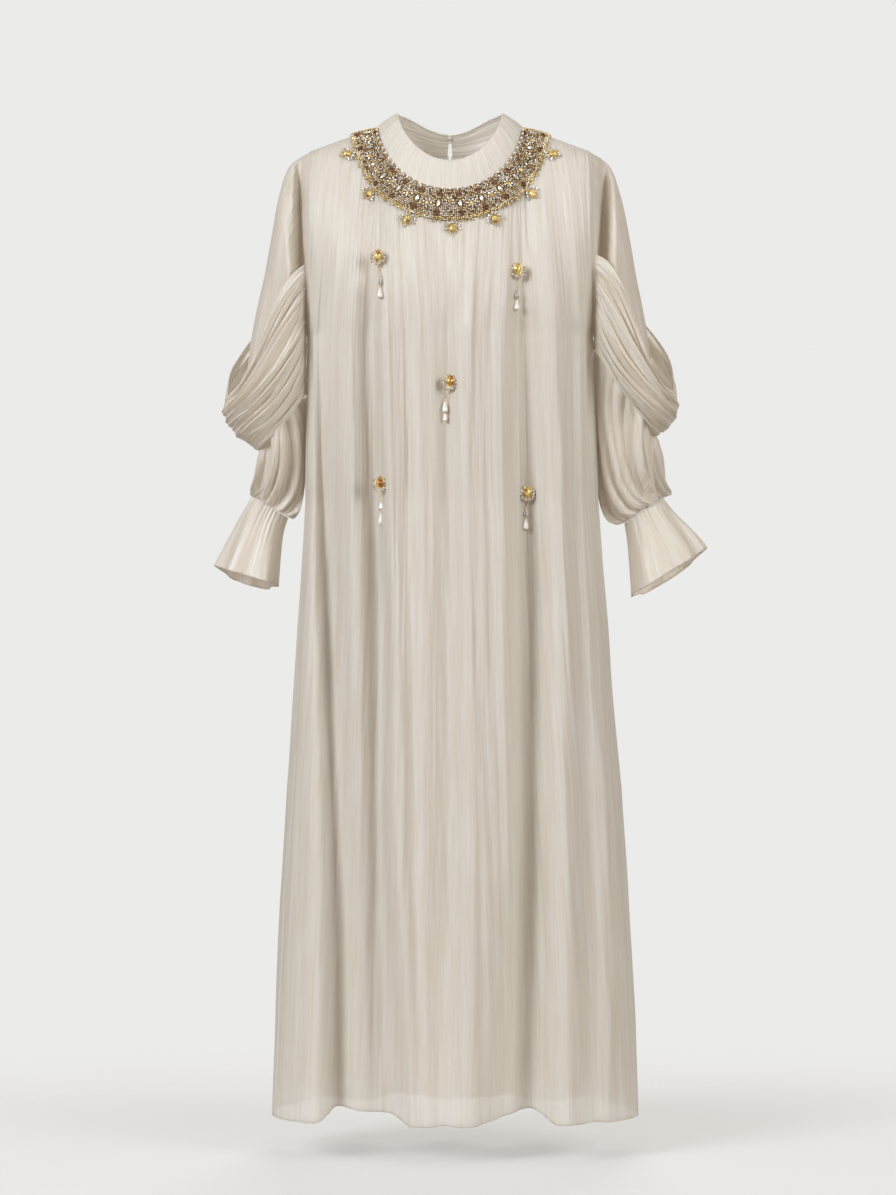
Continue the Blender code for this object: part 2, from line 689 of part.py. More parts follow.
# Stand collar, open at the middle of the back
open_turn = COLLAR_OPENING / 2 / COLLAR_HALF_WIDTH
whole_turn = 2 * (math.pi - open_turn)
collar_turns = [open_turn - math.pi + whole_turn * step / COLLAR_STEPS for step in range(COLLAR_STEPS + 1)]
collar_rows = [[collar_point(turn, share) for turn in collar_turns] for share in (1, 0.5, 0)]
cloth_wall("collar", collar_rows, satin_chiffon, outward=1)

# Ball button between the collar's ends, with its loop round it
button_middle = Vector((0, COLLAR_BACK_DEPTH + BUTTON_BEHIND, COLLAR_BACK_HEIGHT - BUTTON_DROP))
bead("back_button", button_middle, Vector((0, 1, 0)), UPWARDS, [BUTTON_RADIUS] * 3, satin_chiffon)
loop_middle = button_middle + Vector((0, LOOP_BEHIND_BUTTON, -LOOP_DROP))
ring_about("button_loop", loop_middle, LOOP_RADIUS, LOOP_CORD, satin_chiffon)

# Sleeves
for label, side in (("left", -1), ("right", 1)):
    upper = [armhole_ring(side, UPPER_COLUMNS)]
    upper += [sleeve_ring(side, section, UPPER_COLUMNS) for section in UPPER_SLEEVE[label]]
    cloth_wall(f"upper_sleeve_{label}", upper, satin_chiffon, outward=side, closed=True)
    swags = drape_rows(side, SLEEVE_DRAPE[label])
    cloth_wall(f"sleeve_drape_{label}", swags, satin_chiffon, outward=side)
    sections = LOWER_SLEEVE[label]
    lower = []
    for index, section in enumerate(sections):
        fullness = math.sin(math.pi * (index + 0.5) / len(sections))
        lower.append(sleeve_ring(side, section, LOWER_COLUMNS, LOWER_PLEATS, LOWER_PLEAT_DEPTH * fullness))
    cloth_wall(f"lower_sleeve_{label}", lower, satin_chiffon, outward=side, closed=True)
    ruffle = []
    for index, section in enumerate(CUFF_RUFFLE[label]):
        share = index / (len(CUFF_RUFFLE[label]) - 1)
        wave = RUFFLE_WAVE_DEPTH * share
        drop = RUFFLE_BACK_DROP * share
        ruffle.append(sleeve_ring(side, section, RUFFLE_COLUMNS, RUFFLE_WAVES, wave, drop))
    cloth_wall(f"cuff_ruffle_{label}", ruffle, satin_chiffon, outward=side, closed=True)

# Beaded band round the neck, with its pendants
front_surface = surface_of(front)
beaded = band_rows(front_surface)
cloth_wall("neck_beadwork", beaded, bead_gold, outward=1, thickness=BAND_THICKNESS)
for number, degrees in enumerate(PENDANT_TURNS, 1):
    turn = math.radians(degrees)
    reach = band_width(turn) + PENDANT_GAP + PENDANT_HALF_LENGTH
    spot, square, outwards = walk_from_neck(front_surface, turn, reach)
    sizes = (PENDANT_HALF_WIDTH, STONE_HALF_DEPTH, PENDANT_HALF_LENGTH)
    middle = seat_on(front_surface, spot, square, outwards, sizes)
    bead(f"neck_pendant_{number}", middle, square, outwards, sizes, amber)

# Jewels hung on the front
for number, jewel in enumerate(CHEST_JEWELS, 1):
    spot, square = in_front_of(front_surface, jewel.x, jewel.z)
    sizes = (STONE_HALF_WIDTH, STONE_HALF_DEPTH, STONE_HALF_HEIGHT)
    middle = seat_on(front_surface, spot, square, UPWARDS, sizes)
    bead(f"chest_ornament_{number}", middle, square, UPWARDS, sizes, amber)
    spot, square = in_front_of(front_surface, jewel.drop_x, jewel.drop_z)
    sizes = (DROP_HALF_WIDTH, DROP_HALF_WIDTH, jewel.drop_length / 2)
    middle = seat_on(front_surface, spot, square, UPWARDS, sizes)
    bead(f"chest_drop_{number}", middle, square, UPWARDS, sizes, pearl)
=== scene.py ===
# %% [markdown]
# # An abaya of crinkled satin chiffon
#
# The garment hangs as if worn, with nobody inside. Its panels, sleeves and jewels are
# already made as plain solids in a fixed frame, and this lesson dresses them. Each
# cloth solid is replaced by a fine sheet on the same form, and each jewel by its beads
# and stones. All sizes below are millimetres, and left and right are as seen from the
# front, which faces -Y.

# %% Load the frame
import math
from collections import namedtuple

import bmesh
import bpy
import numpy as np
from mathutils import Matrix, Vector
from mathutils.bvhtree import BVHTree


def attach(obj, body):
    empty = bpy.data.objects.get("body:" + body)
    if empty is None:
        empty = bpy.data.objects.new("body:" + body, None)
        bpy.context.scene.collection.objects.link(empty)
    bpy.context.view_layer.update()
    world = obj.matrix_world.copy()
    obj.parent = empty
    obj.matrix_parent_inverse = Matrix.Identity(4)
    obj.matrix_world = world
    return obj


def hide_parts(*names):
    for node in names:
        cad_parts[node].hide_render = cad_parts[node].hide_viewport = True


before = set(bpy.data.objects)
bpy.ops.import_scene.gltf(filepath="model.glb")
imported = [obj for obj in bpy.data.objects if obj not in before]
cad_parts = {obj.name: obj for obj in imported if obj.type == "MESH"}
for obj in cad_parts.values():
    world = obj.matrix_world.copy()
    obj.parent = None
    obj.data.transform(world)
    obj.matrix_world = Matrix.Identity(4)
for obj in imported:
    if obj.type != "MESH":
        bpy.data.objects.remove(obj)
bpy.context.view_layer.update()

MM = 0.001

# %% [markdown]
# ## Colours and nodes
#
# Colours are easiest to pick and compare as the hex values that a picture editor shows,
# but a shader works with linear light. One function turns the first into the second.
# A second small function adds any node with its settings and its links, so that each
# material below reads as a short list of nodes.


# %% Two helpers for materials
def linear(hex_colour):
    """An sRGB hex value such as #F2EDE4 as linear red, green, blue and full alpha."""
    parts = [int(hex_colour[place:place + 2], 16) / 255 for place in (1, 3, 5)]
    return [p / 12.92 if p <= 0.04045 else ((p + 0.055) / 1.055) ** 2.4 for p in parts] + [1.0]


def add_node(tree, kind, inputs=(), **settings):
    """A new node. inputs maps socket names or numbers to values or to other nodes' outputs."""
    node = tree.nodes.new(kind)
    for name, value in settings.items():
        setattr(node, name, value)
    for name, value in dict(inputs).items():
        if isinstance(value, bpy.types.NodeSocket):
            tree.links.new(value, node.inputs[name])
        else:
            node.inputs[name].default_value = value
    return node


print("ivory in linear light:", [round(part, 3) for part in linear("#F2EDE4")])

# %% [markdown]
# ## Crinkled satin chiffon
#
# The cloth is a light polyester chiffon with a satin face. It is twisted while hot, which
# sets thousands of fine, broken ridges that run down the cloth. A plain colour would
# look like paper, and a picture of cloth would repeat. Here three stretched noise
# textures carry the ridges, 7, 2.8 and 1.4 mm apart. The finest real ridges are under a
# millimetre, too fine to show from here, so 1.4 mm stands for them. A share of the
# light passes through, as it does in so thin a weave.
# The crinkle's troughs are coloured a darker, warmer tone, which is painted shade.

# %% The cloth's own map, in metres, gives the noise its real scale
CLOTH_MAP = "cloth"
Ridges = namedtuple("Ridges", "across_mm along_mm detail distortion")
WIDE = Ridges(7.0, 190.0, 2.5, 0.15)
FINE = Ridges(2.8, 80.0, 2.5, 0.15)
HAIR = Ridges(1.4, 40.0, 2.0, 0.0)
FINE_BUMP, HAIR_BUMP, HAIR_STRENGTH = 0.36, 0.12, 0.5
TAUT_AT, LOOSE_AT = 0.2, 1.3
TAUT_STRENGTH, LOOSE_STRENGTH = 0.75, 0.42
GLOSS_DRIFT = 0.07


def crinkle(tree, ridges):
    """Noise in streaks of this spacing and length, that run down the cloth."""
    place = add_node(tree, "ShaderNodeUVMap", uv_map=CLOTH_MAP)
    scale = (1 / (ridges.across_mm * MM), 1 / (ridges.along_mm * MM), 1)
    stretched = add_node(tree, "ShaderNodeMapping", {"Vector": place.outputs[0], "Scale": scale})
    return add_node(tree, "ShaderNodeTexNoise", {
        "Vector": stretched.outputs[0],
        "Scale": 1.0,
        "Detail": ridges.detail,
        "Roughness": 0.55,
        "Distortion": ridges.distortion,
    }).outputs[0]


def woven_cloth(name, ridge, trough_shade, roughness, bump_mm, passes, sheen, alpha):
    """A crinkled cloth: its own tone on the ridges and a darker, warmer painted shade in the troughs,
    its gloss, and how much light passes through it.

    The ridges are sharp near the shoulder, where the cloth is pulled, and softer lower down.
    """
    cloth = bpy.data.materials.new(name)
    cloth.use_nodes = True
    tree = cloth.node_tree
    face = tree.nodes["Principled BSDF"]
    wide, fine, hair = crinkle(tree, WIDE), crinkle(tree, FINE), crinkle(tree, HAIR)
    flat_place = add_node(tree, "ShaderNodeUVMap", uv_map=CLOTH_MAP)
    length = add_node(tree, "ShaderNodeSeparateXYZ", {0: flat_place.outputs[0]}).outputs[1]
    pull = add_node(tree, "ShaderNodeMapRange", {
        0: length, 1: TAUT_AT, 2: LOOSE_AT, 3: TAUT_STRENGTH, 4: LOOSE_STRENGTH,
    }).outputs[0]
    # Painted shade: where the noise that raises the bump is low, in the crinkle's troughs, the colour
    # turns to the darker, warmer trough tone.
    mixed = add_node(tree, "ShaderNodeMix", {0: 0.5, 2: wide, 3: fine}, data_type="FLOAT")
    tone = add_node(tree, "ShaderNodeMapRange", {0: mixed.outputs[0], 1: 0.32, 2: 0.62})
    colour = add_node(tree, "ShaderNodeMix", {
        0: tone.outputs[0],
        6: linear(trough_shade),
        7: linear(ridge),
    }, data_type="RGBA")
    tree.links.new(colour.outputs[2], face.inputs["Base Color"])
    gloss = add_node(tree, "ShaderNodeMapRange", {
        0: fine, 3: roughness + GLOSS_DRIFT, 4: roughness - GLOSS_DRIFT,
    })
    tree.links.new(gloss.outputs[0], face.inputs["Roughness"])
    low = add_node(tree, "ShaderNodeBump", {"Height": wide, "Strength": pull, "Distance": bump_mm * MM})
    middle = add_node(tree, "ShaderNodeBump", {
        "Height": fine, "Strength": pull, "Distance": bump_mm * FINE_BUMP * MM,
        "Normal": low.outputs[0],
    })
    top = add_node(tree, "ShaderNodeBump", {
        "Height": hair, "Strength": HAIR_STRENGTH, "Distance": bump_mm * HAIR_BUMP * MM,
        "Normal": middle.outputs[0],
    })
    tree.links.new(top.outputs[0], face.inputs["Normal"])
    face.inputs["IOR"].default_value = 1.45
    face.inputs["Sheen Weight"].default_value = sheen
    face.inputs["Sheen Roughness"].default_value = 0.35
    face.inputs["Alpha"].default_value = alpha
    behind = add_node(tree, "ShaderNodeBsdfTranslucent", {
        "Color": colour.outputs[2], "Normal": top.outputs[0],
    })
    both = add_node(tree, "ShaderNodeMixShader", {0: passes, 1: face.outputs[0], 2: behind.outputs[0]})
    tree.links.new(both.outputs[0], tree.nodes["Material Output"].inputs[0])
    return cloth


satin_chiffon = woven_cloth(
    "crinkled satin chiffon", "#FBF9F4", "#F3ECDF",
    roughness=0.33, bump_mm=2.8, passes=0.2, sheen=0.1, alpha=0.84,
)
sleeve_chiffon = woven_cloth(
    "crinkled satin chiffon, unlined sleeve", "#FBF8F2", "#EFE3D3",
    roughness=0.31, bump_mm=2.6, passes=0.22, sheen=0.1, alpha=0.94,
)
lining_voile = woven_cloth(
    "plain woven polyester voile lining", "#EEE4D6", "#DED0BC",
    roughness=0.6, bump_mm=0.5, passes=0.2, sheen=0.05, alpha=1.0,
)
print("cloths:", satin_chiffon.name, "/", sleeve_chiffon.name, "/", lining_voile.name)

# %% [markdown]
# ## The form of the body
#
# The body is a tube that widens to the hem, with a flat oval section and folds that
# deepen on the way down. Sculpting it by hand would hide its sizes. A cloth simulation
# would move the folds. So the same few sizes that shaped the plain model are written
# here as small tables, and the surface is worked out from them at a much finer step.

# %% Sizes of the body
UNDERARM_HEIGHT = -286.0
HEM_HEIGHT = -1396.0
LINING_HEM_HEIGHT = -1356.0
SECTION_SQUARENESS = 0.7
COLUMNS_TOWARDS_MIDDLE = 0.25
HEM_RISE_IN_FOLD = 0.3
NECK_HALF_WIDTH = 101.0
NECK_SHARE = 0.5
NECK_SQUARENESS = 0.75
NECK_POINT_HEIGHT = 13.0
NECK_DEPTHS = {-1: 82.0, 1: 70.0}
NECK_HEIGHTS = {-1: -86.0, 1: -22.0}
SHOULDER_HALF_WIDTH = 200.0
SHOULDER_HEIGHT = -24.0
ARMHOLE_BULGE, ARMHOLE_ROUNDNESS = 62.0, 0.65
CHEST_FORWARD, CHEST_FORWARD_BESIDE_NECK = 2.4, 0.6
SHOULDER_HOLD = 0.35
SEAM_GAP = 0.06
SEWN_ON_GAP = SEAM_GAP * 2
BEND_GAP = 0.9

Level = namedtuple("Level", "height left right front back")
LEVELS = [
    Level(-286, -204, 204, 124, 106),
    Level(-522, -205, 210, 122, 108),
    Level(-662, -213, 221, 128, 116),
    Level(-799, -223, 232, 136, 124),
    Level(-932, -232, 245, 144, 132),
    Level(-1094, -242, 255, 152, 140),
    Level(-1244, -249, 264, 158, 146),
    Level(-1396, -254, 268, 164, 150),
]
print("from neck point to hem:", NECK_POINT_HEIGHT - HEM_HEIGHT, "mm")

# %% [markdown]
# ## Folds and creases
#
# Gathered cloth falls in a few deep folds and many shallow creases between them. Each
# row below is one fold with its place and depth at four heights, so it can wander and
# open as it falls. A depth below nought stands out as a ridge. A fold that leans has one
# steep side, on the right if the lean is above nought. The creases at the end of each
# list are too small for the plain solids.

# %% Tables of folds
FOLD_HEIGHTS = (-300, -650, -1050, -1396)
LEAN_SHARE = 0.55
Fold = namedtuple("Fold", "places reach depths lean", defaults=(0.0,))
FRONT_FOLDS = [
    Fold((-184, -174, -160, -157), (11, 14, 18, 21), (12, 38, 46, 60), -0.8),
    Fold((-112, -99, -98, -86), (10, 12, 12, 22), (22, 38, 34, 42), 0.5),
    Fold((-90, -80, -72, -56), (10, 11, 12, 15), (-12, -15, -15, -9)),
    Fold((-6, -3, -3, -9), (10, 12, 12, 14), (14, 19, 18, 6)),
    Fold((22, 24, 26, 24), (12, 14, 15, 16), (-6, -7, -7, -4)),
    Fold((56, 58, 64, 70), (9, 10, 12, 12), (4, 5, 5, 3)),
    Fold((104, 117, 118, 113), (14, 17, 19, 25), (24, 46, 54, 60), 0.7),
    Fold((149, 158, 160, 162), (12, 13, 14, 15), (-9, -12, -12, -8)),
    Fold((172, 182, 196, 204), (8, 9, 11, 12), (5, 7, 7, 6)),
    Fold((-150, -140, -136, -132), (8, 9, 10, 11), (-5, -6, -5, -4)),
    Fold((-64, -58, -50, -40), (5, 6, 6, 7), (6, 5, 4, 3)),
    Fold((-43, -40, -36, -26), (5, 6, 6, 7), (-4, -4, -3, -3)),
    Fold((37, 38, 42, 48), (4, 5, 6, 7), (2.6, 2.6, 2.4, 2)),
    Fold((72, 76, 84, 88), (5, 6, 7, 8), (-4, -4.4, -4, -3)),
    Fold((121, 130, 133, 134), (5, 6, 6, 6), (4, 4, 3, 2.4)),
    Fold((180, 189, 212, 224), (5, 6, 7, 8), (-3.4, -3.6, -3.6, -3)),
    Fold((-200, -198, -200, -204), (6, 7, 8, 9), (-2, -2.4, -3, -3)),
]
BACK_FOLDS = [
    Fold((-160, -168, -178, -186), (13, 15, 18, 20), (6, 18, 32, 46)),
    Fold((-104, -112, -122, -130), (13, 14, 15, 17), (-6, -8, -9, -9)),
    Fold((-52, -58, -62, -66), (14, 17, 20, 23), (8, 24, 40, 54)),
    Fold((4, 6, 8, 10), (14, 16, 18, 20), (-6, -8, -10, -10)),
    Fold((58, 66, 72, 78), (14, 17, 20, 23), (8, 22, 38, 50)),
    Fold((112, 120, 128, 134), (13, 14, 15, 17), (-5, -7, -9, -9)),
    Fold((158, 172, 188, 198), (13, 15, 17, 19), (6, 16, 28, 42)),
    Fold((-134, -142, -150, -158), (5, 6, 7, 8), (2.6, 2.6, 2, 1.6)),
    Fold((-78, -88, -96, -102), (5, 6, 7, 8), (2.6, 2.4, 2, 1.6)),
    Fold((-24, -28, -30, -32), (5, 6, 7, 8), (-2.4, -2.6, -2.4, -2)),
    Fold((32, 38, 42, 46), (5, 6, 7, 8), (-2.4, -2.4, -2, -2)),
    Fold((86, 94, 102, 108), (5, 6, 7, 8), (2.2, 2.4, 2, 1.6)),
    Fold((136, 146, 156, 164), (5, 6, 7, 8), (-2.6, -2.4, -2.2, -2)),
]
print(len(FRONT_FOLDS), "folds and creases in front,", len(BACK_FOLDS), "behind")


# %% From the tables to points. face is -1 for the front and 1 for the back
def blend(places, values, at):
    """Values between the listed places, which run from high to low."""
    return np.interp(-np.asarray(at, float), -np.asarray(places, float), values)


def fold_depth(folds, x, height):
    """How far the folds carry the cloth inwards at each place."""
    depth = 0.0
    for fold in folds:
        place = blend(FOLD_HEIGHTS, fold.places, height)
        reach = blend(FOLD_HEIGHTS, fold.reach, height)
        reach = reach * (1 + LEAN_SHARE * fold.lean * np.sign(place - x))
        deepest = blend(FOLD_HEIGHTS, fold.depths, height)
        depth = depth + deepest * np.exp(-0.5 * ((x - place) / reach) ** 2)
    return depth


def stacked(x, y, z):
    return np.stack(np.broadcast_arrays(x, y, z), axis=-1)


def turn_at(across):
    """The angle round the body's oval section, from side seam to side seam."""
    return math.pi / 2 * (across * (1 - COLUMNS_TOWARDS_MIDDLE) + COLUMNS_TOWARDS_MIDDLE * across ** 3)


def inward_fold(face, x, across, height):
    """The folds' depth, which dies out towards the side seams."""
    folds = FRONT_FOLDS if face < 0 else BACK_FOLDS
    return fold_depth(folds, x, height) * np.clip(np.cos(turn_at(across)) * 3, 0, 1)


def body_surface(face, across, height):
    """Points on the body, for places across from -1 to 1 and heights below the underarm."""
    heights = [level.height for level in LEVELS]
    left = blend(heights, [level.left for level in LEVELS], height)
    right = blend(heights, [level.right for level in LEVELS], height)
    depths = [level.front if face < 0 else level.back for level in LEVELS]
    turn = turn_at(across)
    x = (left + right) / 2 + (right - left) / 2 * np.sin(turn)
    inward = inward_fold(face, x, across, height)
    open_face = np.maximum(np.cos(turn), 0.0)
    depth = blend(heights, depths, height) * open_face ** SECTION_SQUARENESS - inward
    down = np.maximum((UNDERARM_HEIGHT - height) / (UNDERARM_HEIGHT - HEM_HEIGHT), 0.0)
    rise = np.maximum(inward, 0.0) * HEM_RISE_IN_FOLD * down ** 6
    return stacked(x, face * np.maximum(depth, SEAM_GAP), height + rise)


def top_edge(face, across):
    """Points on a panel's top edge: the neckline, then the shoulder seam on each side."""
    angle = np.clip(across / NECK_SHARE, -1, 1) * math.pi / 2
    neck_y = face * (BEND_GAP + NECK_DEPTHS[face] * np.cos(angle) ** NECK_SQUARENESS)
    neck_z = NECK_POINT_HEIGHT + (NECK_HEIGHTS[face] - NECK_POINT_HEIGHT) * np.cos(angle)
    share = np.maximum((abs(across) - NECK_SHARE) / (1 - NECK_SHARE), 0)
    seam_x = np.sign(across) * (SHOULDER_HALF_WIDTH - NECK_HALF_WIDTH) * share
    seam_z = NECK_POINT_HEIGHT + (SHOULDER_HEIGHT - NECK_POINT_HEIGHT) * share
    on_neck = abs(across) <= NECK_SHARE
    return stacked(
        NECK_HALF_WIDTH * np.sin(angle) + seam_x,
        np.where(on_neck, neck_y, face * BEND_GAP),
        np.where(on_neck, neck_z, seam_z),
    )


def armhole_bulge(share):
    """How far the armhole's edge stands off the side seam, from the shoulder to the underarm."""
    return ARMHOLE_BULGE * np.maximum(np.sin(math.pi * np.asarray(share)), 0.0) ** ARMHOLE_ROUNDNESS


def chest_surface(face, across, share):
    """Points from the top edge, share 0, to the underarm, share 1."""
    top = top_edge(face, across)
    low = body_surface(face, across, UNDERARM_HEIGHT)
    fold = -face * inward_fold(face, low[..., 0], across, UNDERARM_HEIGHT)
    off_neck = np.clip((abs(across) - NECK_SHARE) / 0.3, 0, 1)
    forward = 1 - (1 - share) ** (CHEST_FORWARD + CHEST_FORWARD_BESIDE_NECK * off_neck)
    x = top[..., 0] + (low[..., 0] - top[..., 0]) * share
    y = top[..., 1] + (low[..., 1] - fold - top[..., 1]) * forward + fold * share ** 2
    y = y + face * armhole_bulge(share) * abs(across) ** 5
    edge = face * (np.maximum(BEND_GAP * (1 - share), SEAM_GAP) + armhole_bulge(share))
    y = np.where(abs(across) == 1, edge, y)
    down = share ** (1 + SHOULDER_HOLD * off_neck)
    return stacked(x, y, top[..., 2] + (low[..., 2] - top[..., 2]) * down)


hem_ends = body_surface(-1, np.array([-1.0, 1.0]), HEM_HEIGHT)[:, 0]
print("the hem is", round(float(np.ptp(hem_ends))), "mm wide")

# %% [markdown]
# ## From rows of points to a sheet of cloth
#
# Every cut piece is a grid of points: rows down the cloth and columns across it. Three
# things turn a grid into cloth. Soft random heights, in long cells that run down the
# piece, raise the crinkle that is wide enough to see. Free edges are rolled over, as a
# narrow rolled hem is sewn. And a map in metres tells the material where it is on the
# flat cloth, so that the finer crinkle follows the sleeve when the sleeve bends.


# %% Helpers for grids of points
CLOSE_CELLS, CLOSE_RISE = 2.1, 0.55
SIDE_FLAT_MM = 8


def cloth_noise(share, length, cells, along, seed):
    """Smooth random heights from -1 to 1, with this many cells across and cells this long."""
    rows = int(length.max() / along) + 2
    heights = np.random.default_rng(seed).uniform(-1, 1, (rows + 1, cells))
    column, row = share * cells, length / along
    left, above = np.floor(column).astype(int), np.floor(row).astype(int)
    s, t = column - left, row - above
    s, t = s * s * (3 - 2 * s), t * t * (3 - 2 * t)
    left, right = left % cells, (left + 1) % cells
    upper = heights[above, left] * (1 - s) + heights[above, right] * s
    lower = heights[above + 1, left] * (1 - s) + heights[above + 1, right] * s
    return upper * (1 - t) + lower * t


def run_along(points, axis, closed=False):
    """Distance over the cloth along rows or columns, on average for the whole piece."""
    steps = np.linalg.norm(np.diff(points, axis=axis), axis=-1).mean(axis=1 - axis)
    if closed:
        steps = np.append(steps, steps.mean())
    return np.concatenate([[0.0], np.cumsum(steps)])


def squares(points, outward, closed=False):
    """The direction square to the cloth at each point, on its outer side."""
    if closed:
        across = np.roll(points, -1, axis=1) - np.roll(points, 1, axis=1)
    else:
        across = np.gradient(points, axis=1)
    out = np.cross(np.gradient(points, axis=0), across) * outward
    return out / np.maximum(np.linalg.norm(out, axis=-1, keepdims=True), 1e-9)


def crinkled(points, outward, seed, rise_mm, closed=False, cell_mm=15.0, long_mm=230.0, flat_mm=12.0):
    """Raises the wide crinkle: cells of cell_mm, and of half that, which die out at the edges."""
    length = run_along(points, 0)[:, None]
    width = run_along(points, 1, closed)[-1]
    columns = points.shape[1]
    share = (np.arange(columns) / (columns if closed else columns - 1))[None, :]
    wide = cloth_noise(share, length, max(8, round(width / cell_mm)), long_mm, seed)
    close_cells = max(16, round(CLOSE_CELLS * width / cell_mm))
    close = cloth_noise(share, length, close_cells, long_mm * 0.5, seed + 1)
    height = rise_mm * (wide + CLOSE_RISE * close)
    fade = np.clip(length / flat_mm, 0, 1)
    if not closed:
        fade = fade * np.clip(np.minimum(share, 1 - share) * width / SIDE_FLAT_MM, 0, 1)
    return points + squares(points, outward, closed) * (height * fade)[..., None]


def rolled(points, outward, radius=1.1, steps=6, closed=False):
    """Adds a narrow rolled hem below the last row."""
    out = squares(points, outward, closed)[-1]
    down = points[-1] - points[-2]
    down = down / np.linalg.norm(down, axis=-1, keepdims=True)
    middle = points[-1] - out * radius
    turns = [1.7 * math.pi * step / steps for step in range(1, steps + 1)]
    roll = [middle + radius * (out * math.cos(turn) + down * math.sin(turn)) for turn in turns]
    return np.concatenate([points, np.array(roll)])


def sheet_object(name, points, finish, outward, closed=False, missing=()):
    """A mesh through the grid, in metres, with its map of the flat cloth."""
    rows, columns = points.shape[:2]
    ends = columns if closed else columns - 1
    grid = np.arange(rows * columns).reshape(rows, columns)
    faces, corners = [], []
    for row in range(rows - 1):
        for column in range(ends):
            if (row, column) in missing:
                continue
            after = (column + 1) % columns
            face = [grid[row, column], grid[row + 1, column], grid[row + 1, after], grid[row, after]]
            corner = [(row, column), (row + 1, column), (row + 1, column + 1), (row, column + 1)]
            faces.append(face if outward > 0 else face[::-1])
            corners.extend(corner if outward > 0 else corner[::-1])
    mesh = bpy.data.meshes.new(name)
    mesh.from_pydata((points.reshape(-1, 3) * MM).tolist(), [], faces)
    length, width = run_along(points, 0) * MM, run_along(points, 1, closed) * MM
    row_of, column_of = np.array(corners).T
    flat = mesh.uv_layers.new(name=CLOTH_MAP)
    flat.data.foreach_set("uv", np.stack([width[column_of], length[row_of]], axis=1).ravel())
    mesh.shade_smooth()
    mesh.materials.append(finish)
    piece = bpy.data.objects.new(name, mesh)
    bpy.context.collection.objects.link(piece)
    return piece


def dress(piece, node, area=None):
    """Puts a piece in place of its plain solid, and says how big a sheet it is cut from."""
    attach(piece, "root")
    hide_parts(node)
    print(f"{piece.name}: {len(piece.data.polygons)} faces, {area or 0:.3f} square metres")


def area_of(points, closed=False):
    """The cloth's area in square metres, from the sizes of its grid's cells."""
    if closed:
        points = np.concatenate([points, points[:, :1]], axis=1)
    across = np.diff(points, axis=1)[:-1]
    down = np.diff(points, axis=0)[:, :-1]
    return float(np.linalg.norm(np.cross(across, down), axis=-1).sum()) * MM * MM


# %% [markdown]
# ## Front and back panels
#
# Each body panel is one length of cloth from the shoulder to the hem, seamed at the
# sides. The columns of its grid are spaced by the width of the hem and of the top edge
# together, as gathered cloth is, and the top edge counts a little less. The back panel
# is slit below the neck, where the button fastens, so the faces between the two middle
# columns are left out there.

# %% Panels
CHEST_ROWS, SKIRT_ROWS = 62, 150
FRONT_COLUMNS, BACK_COLUMNS = 370, 250
SLIT_WIDTH = 3.6
SLIT_SHARE = 0.38
ROW_CROWDING = 1.4
TOP_EDGE_WEIGHT = 0.8


def even_columns(face, count):
    """Places across a panel, spaced evenly along its hem and top edge taken together."""
    places = np.linspace(-1, 1, 1601)
    hem, top = body_surface(face, places, HEM_HEIGHT), top_edge(face, places)
    hem_steps, top_steps = (np.linalg.norm(np.diff(edge, axis=0), axis=1) for edge in (hem, top))
    run = np.concatenate([[0.0], np.cumsum(hem_steps + TOP_EDGE_WEIGHT * top_steps)])
    return np.interp(np.linspace(0, run[-1], count), run, places)


def panel_points(face, columns, chest_rows, skirt_rows, hem, first_share=0.0):
    """The grid of a panel, closer together at the top where the shoulders bend."""
    shares = first_share + (1 - first_share) * np.linspace(0, 1, chest_rows)[:, None] ** ROW_CROWDING
    down = np.linspace(0, 1, skirt_rows + 1)[1:, None]
    heights = UNDERARM_HEIGHT + (hem - UNDERARM_HEIGHT) * down
    return np.concatenate([chest_surface(face, columns[None, :], shares),
                           body_surface(face, columns[None, :], heights)])


front_columns = even_columns(-1, FRONT_COLUMNS)
slit = SLIT_WIDTH / 2 / NECK_HALF_WIDTH / (math.pi / 2) * NECK_SHARE


def slit_columns(count):
    """Columns for a back panel, with the slit's two edges in the middle."""
    half = even_columns(1, count)
    half = half[half > slit * 2]
    return np.concatenate([-half[::-1], [-slit, slit], half])


def slit_faces(columns, chest_rows):
    """The faces that the slit leaves out."""
    rows = int(SLIT_SHARE ** (1 / ROW_CROWDING) * chest_rows)
    return {(row, len(columns) // 2 - 1) for row in range(rows)}


back_columns = slit_columns(BACK_COLUMNS)

front_points = panel_points(-1, front_columns, CHEST_ROWS, SKIRT_ROWS, HEM_HEIGHT)
back_points = panel_points(1, back_columns, CHEST_ROWS, SKIRT_ROWS, HEM_HEIGHT)
front_cloth = crinkled(front_points, 1, seed=11, rise_mm=1.7, flat_mm=60)
back_cloth = crinkled(back_points, -1, seed=23, rise_mm=1.5, flat_mm=30)
front = sheet_object("front_panel", rolled(front_cloth, 1), satin_chiffon, 1)
open_back = slit_faces(back_columns, CHEST_ROWS)
back = sheet_object("back_panel", rolled(back_cloth, -1), satin_chiffon, -1, missing=open_back)
dress(front, "front", area=area_of(front_points))
dress(back, "back", area=area_of(back_points))

# %% [markdown]
# ## Linings
#
# The chiffon is so thin that the body has a lining, cut a little shorter. Its hem shows
# as a faint line through the outer cloth. It is made from the panels' own grid, moved
# inwards square to the cloth, so that the two can never cross. So light a hem never
# hangs quite level, and this one wavers by a few millimetres.

# %% Linings
LINING_INSET, LINING_INSET_AT_TOP = 6.5, 2.6
LINING_FIRST_SHARE = 0.024
LINING_COLUMNS, LINING_CHEST_ROWS, LINING_SKIRT_ROWS = 130, 24, 50
Waver = namedtuple("Waver", "height_mm pace start")
LINING_HEM_WAVERS = (Waver(6.0, 10, 2.2), Waver(3.5, 23, 0.0))


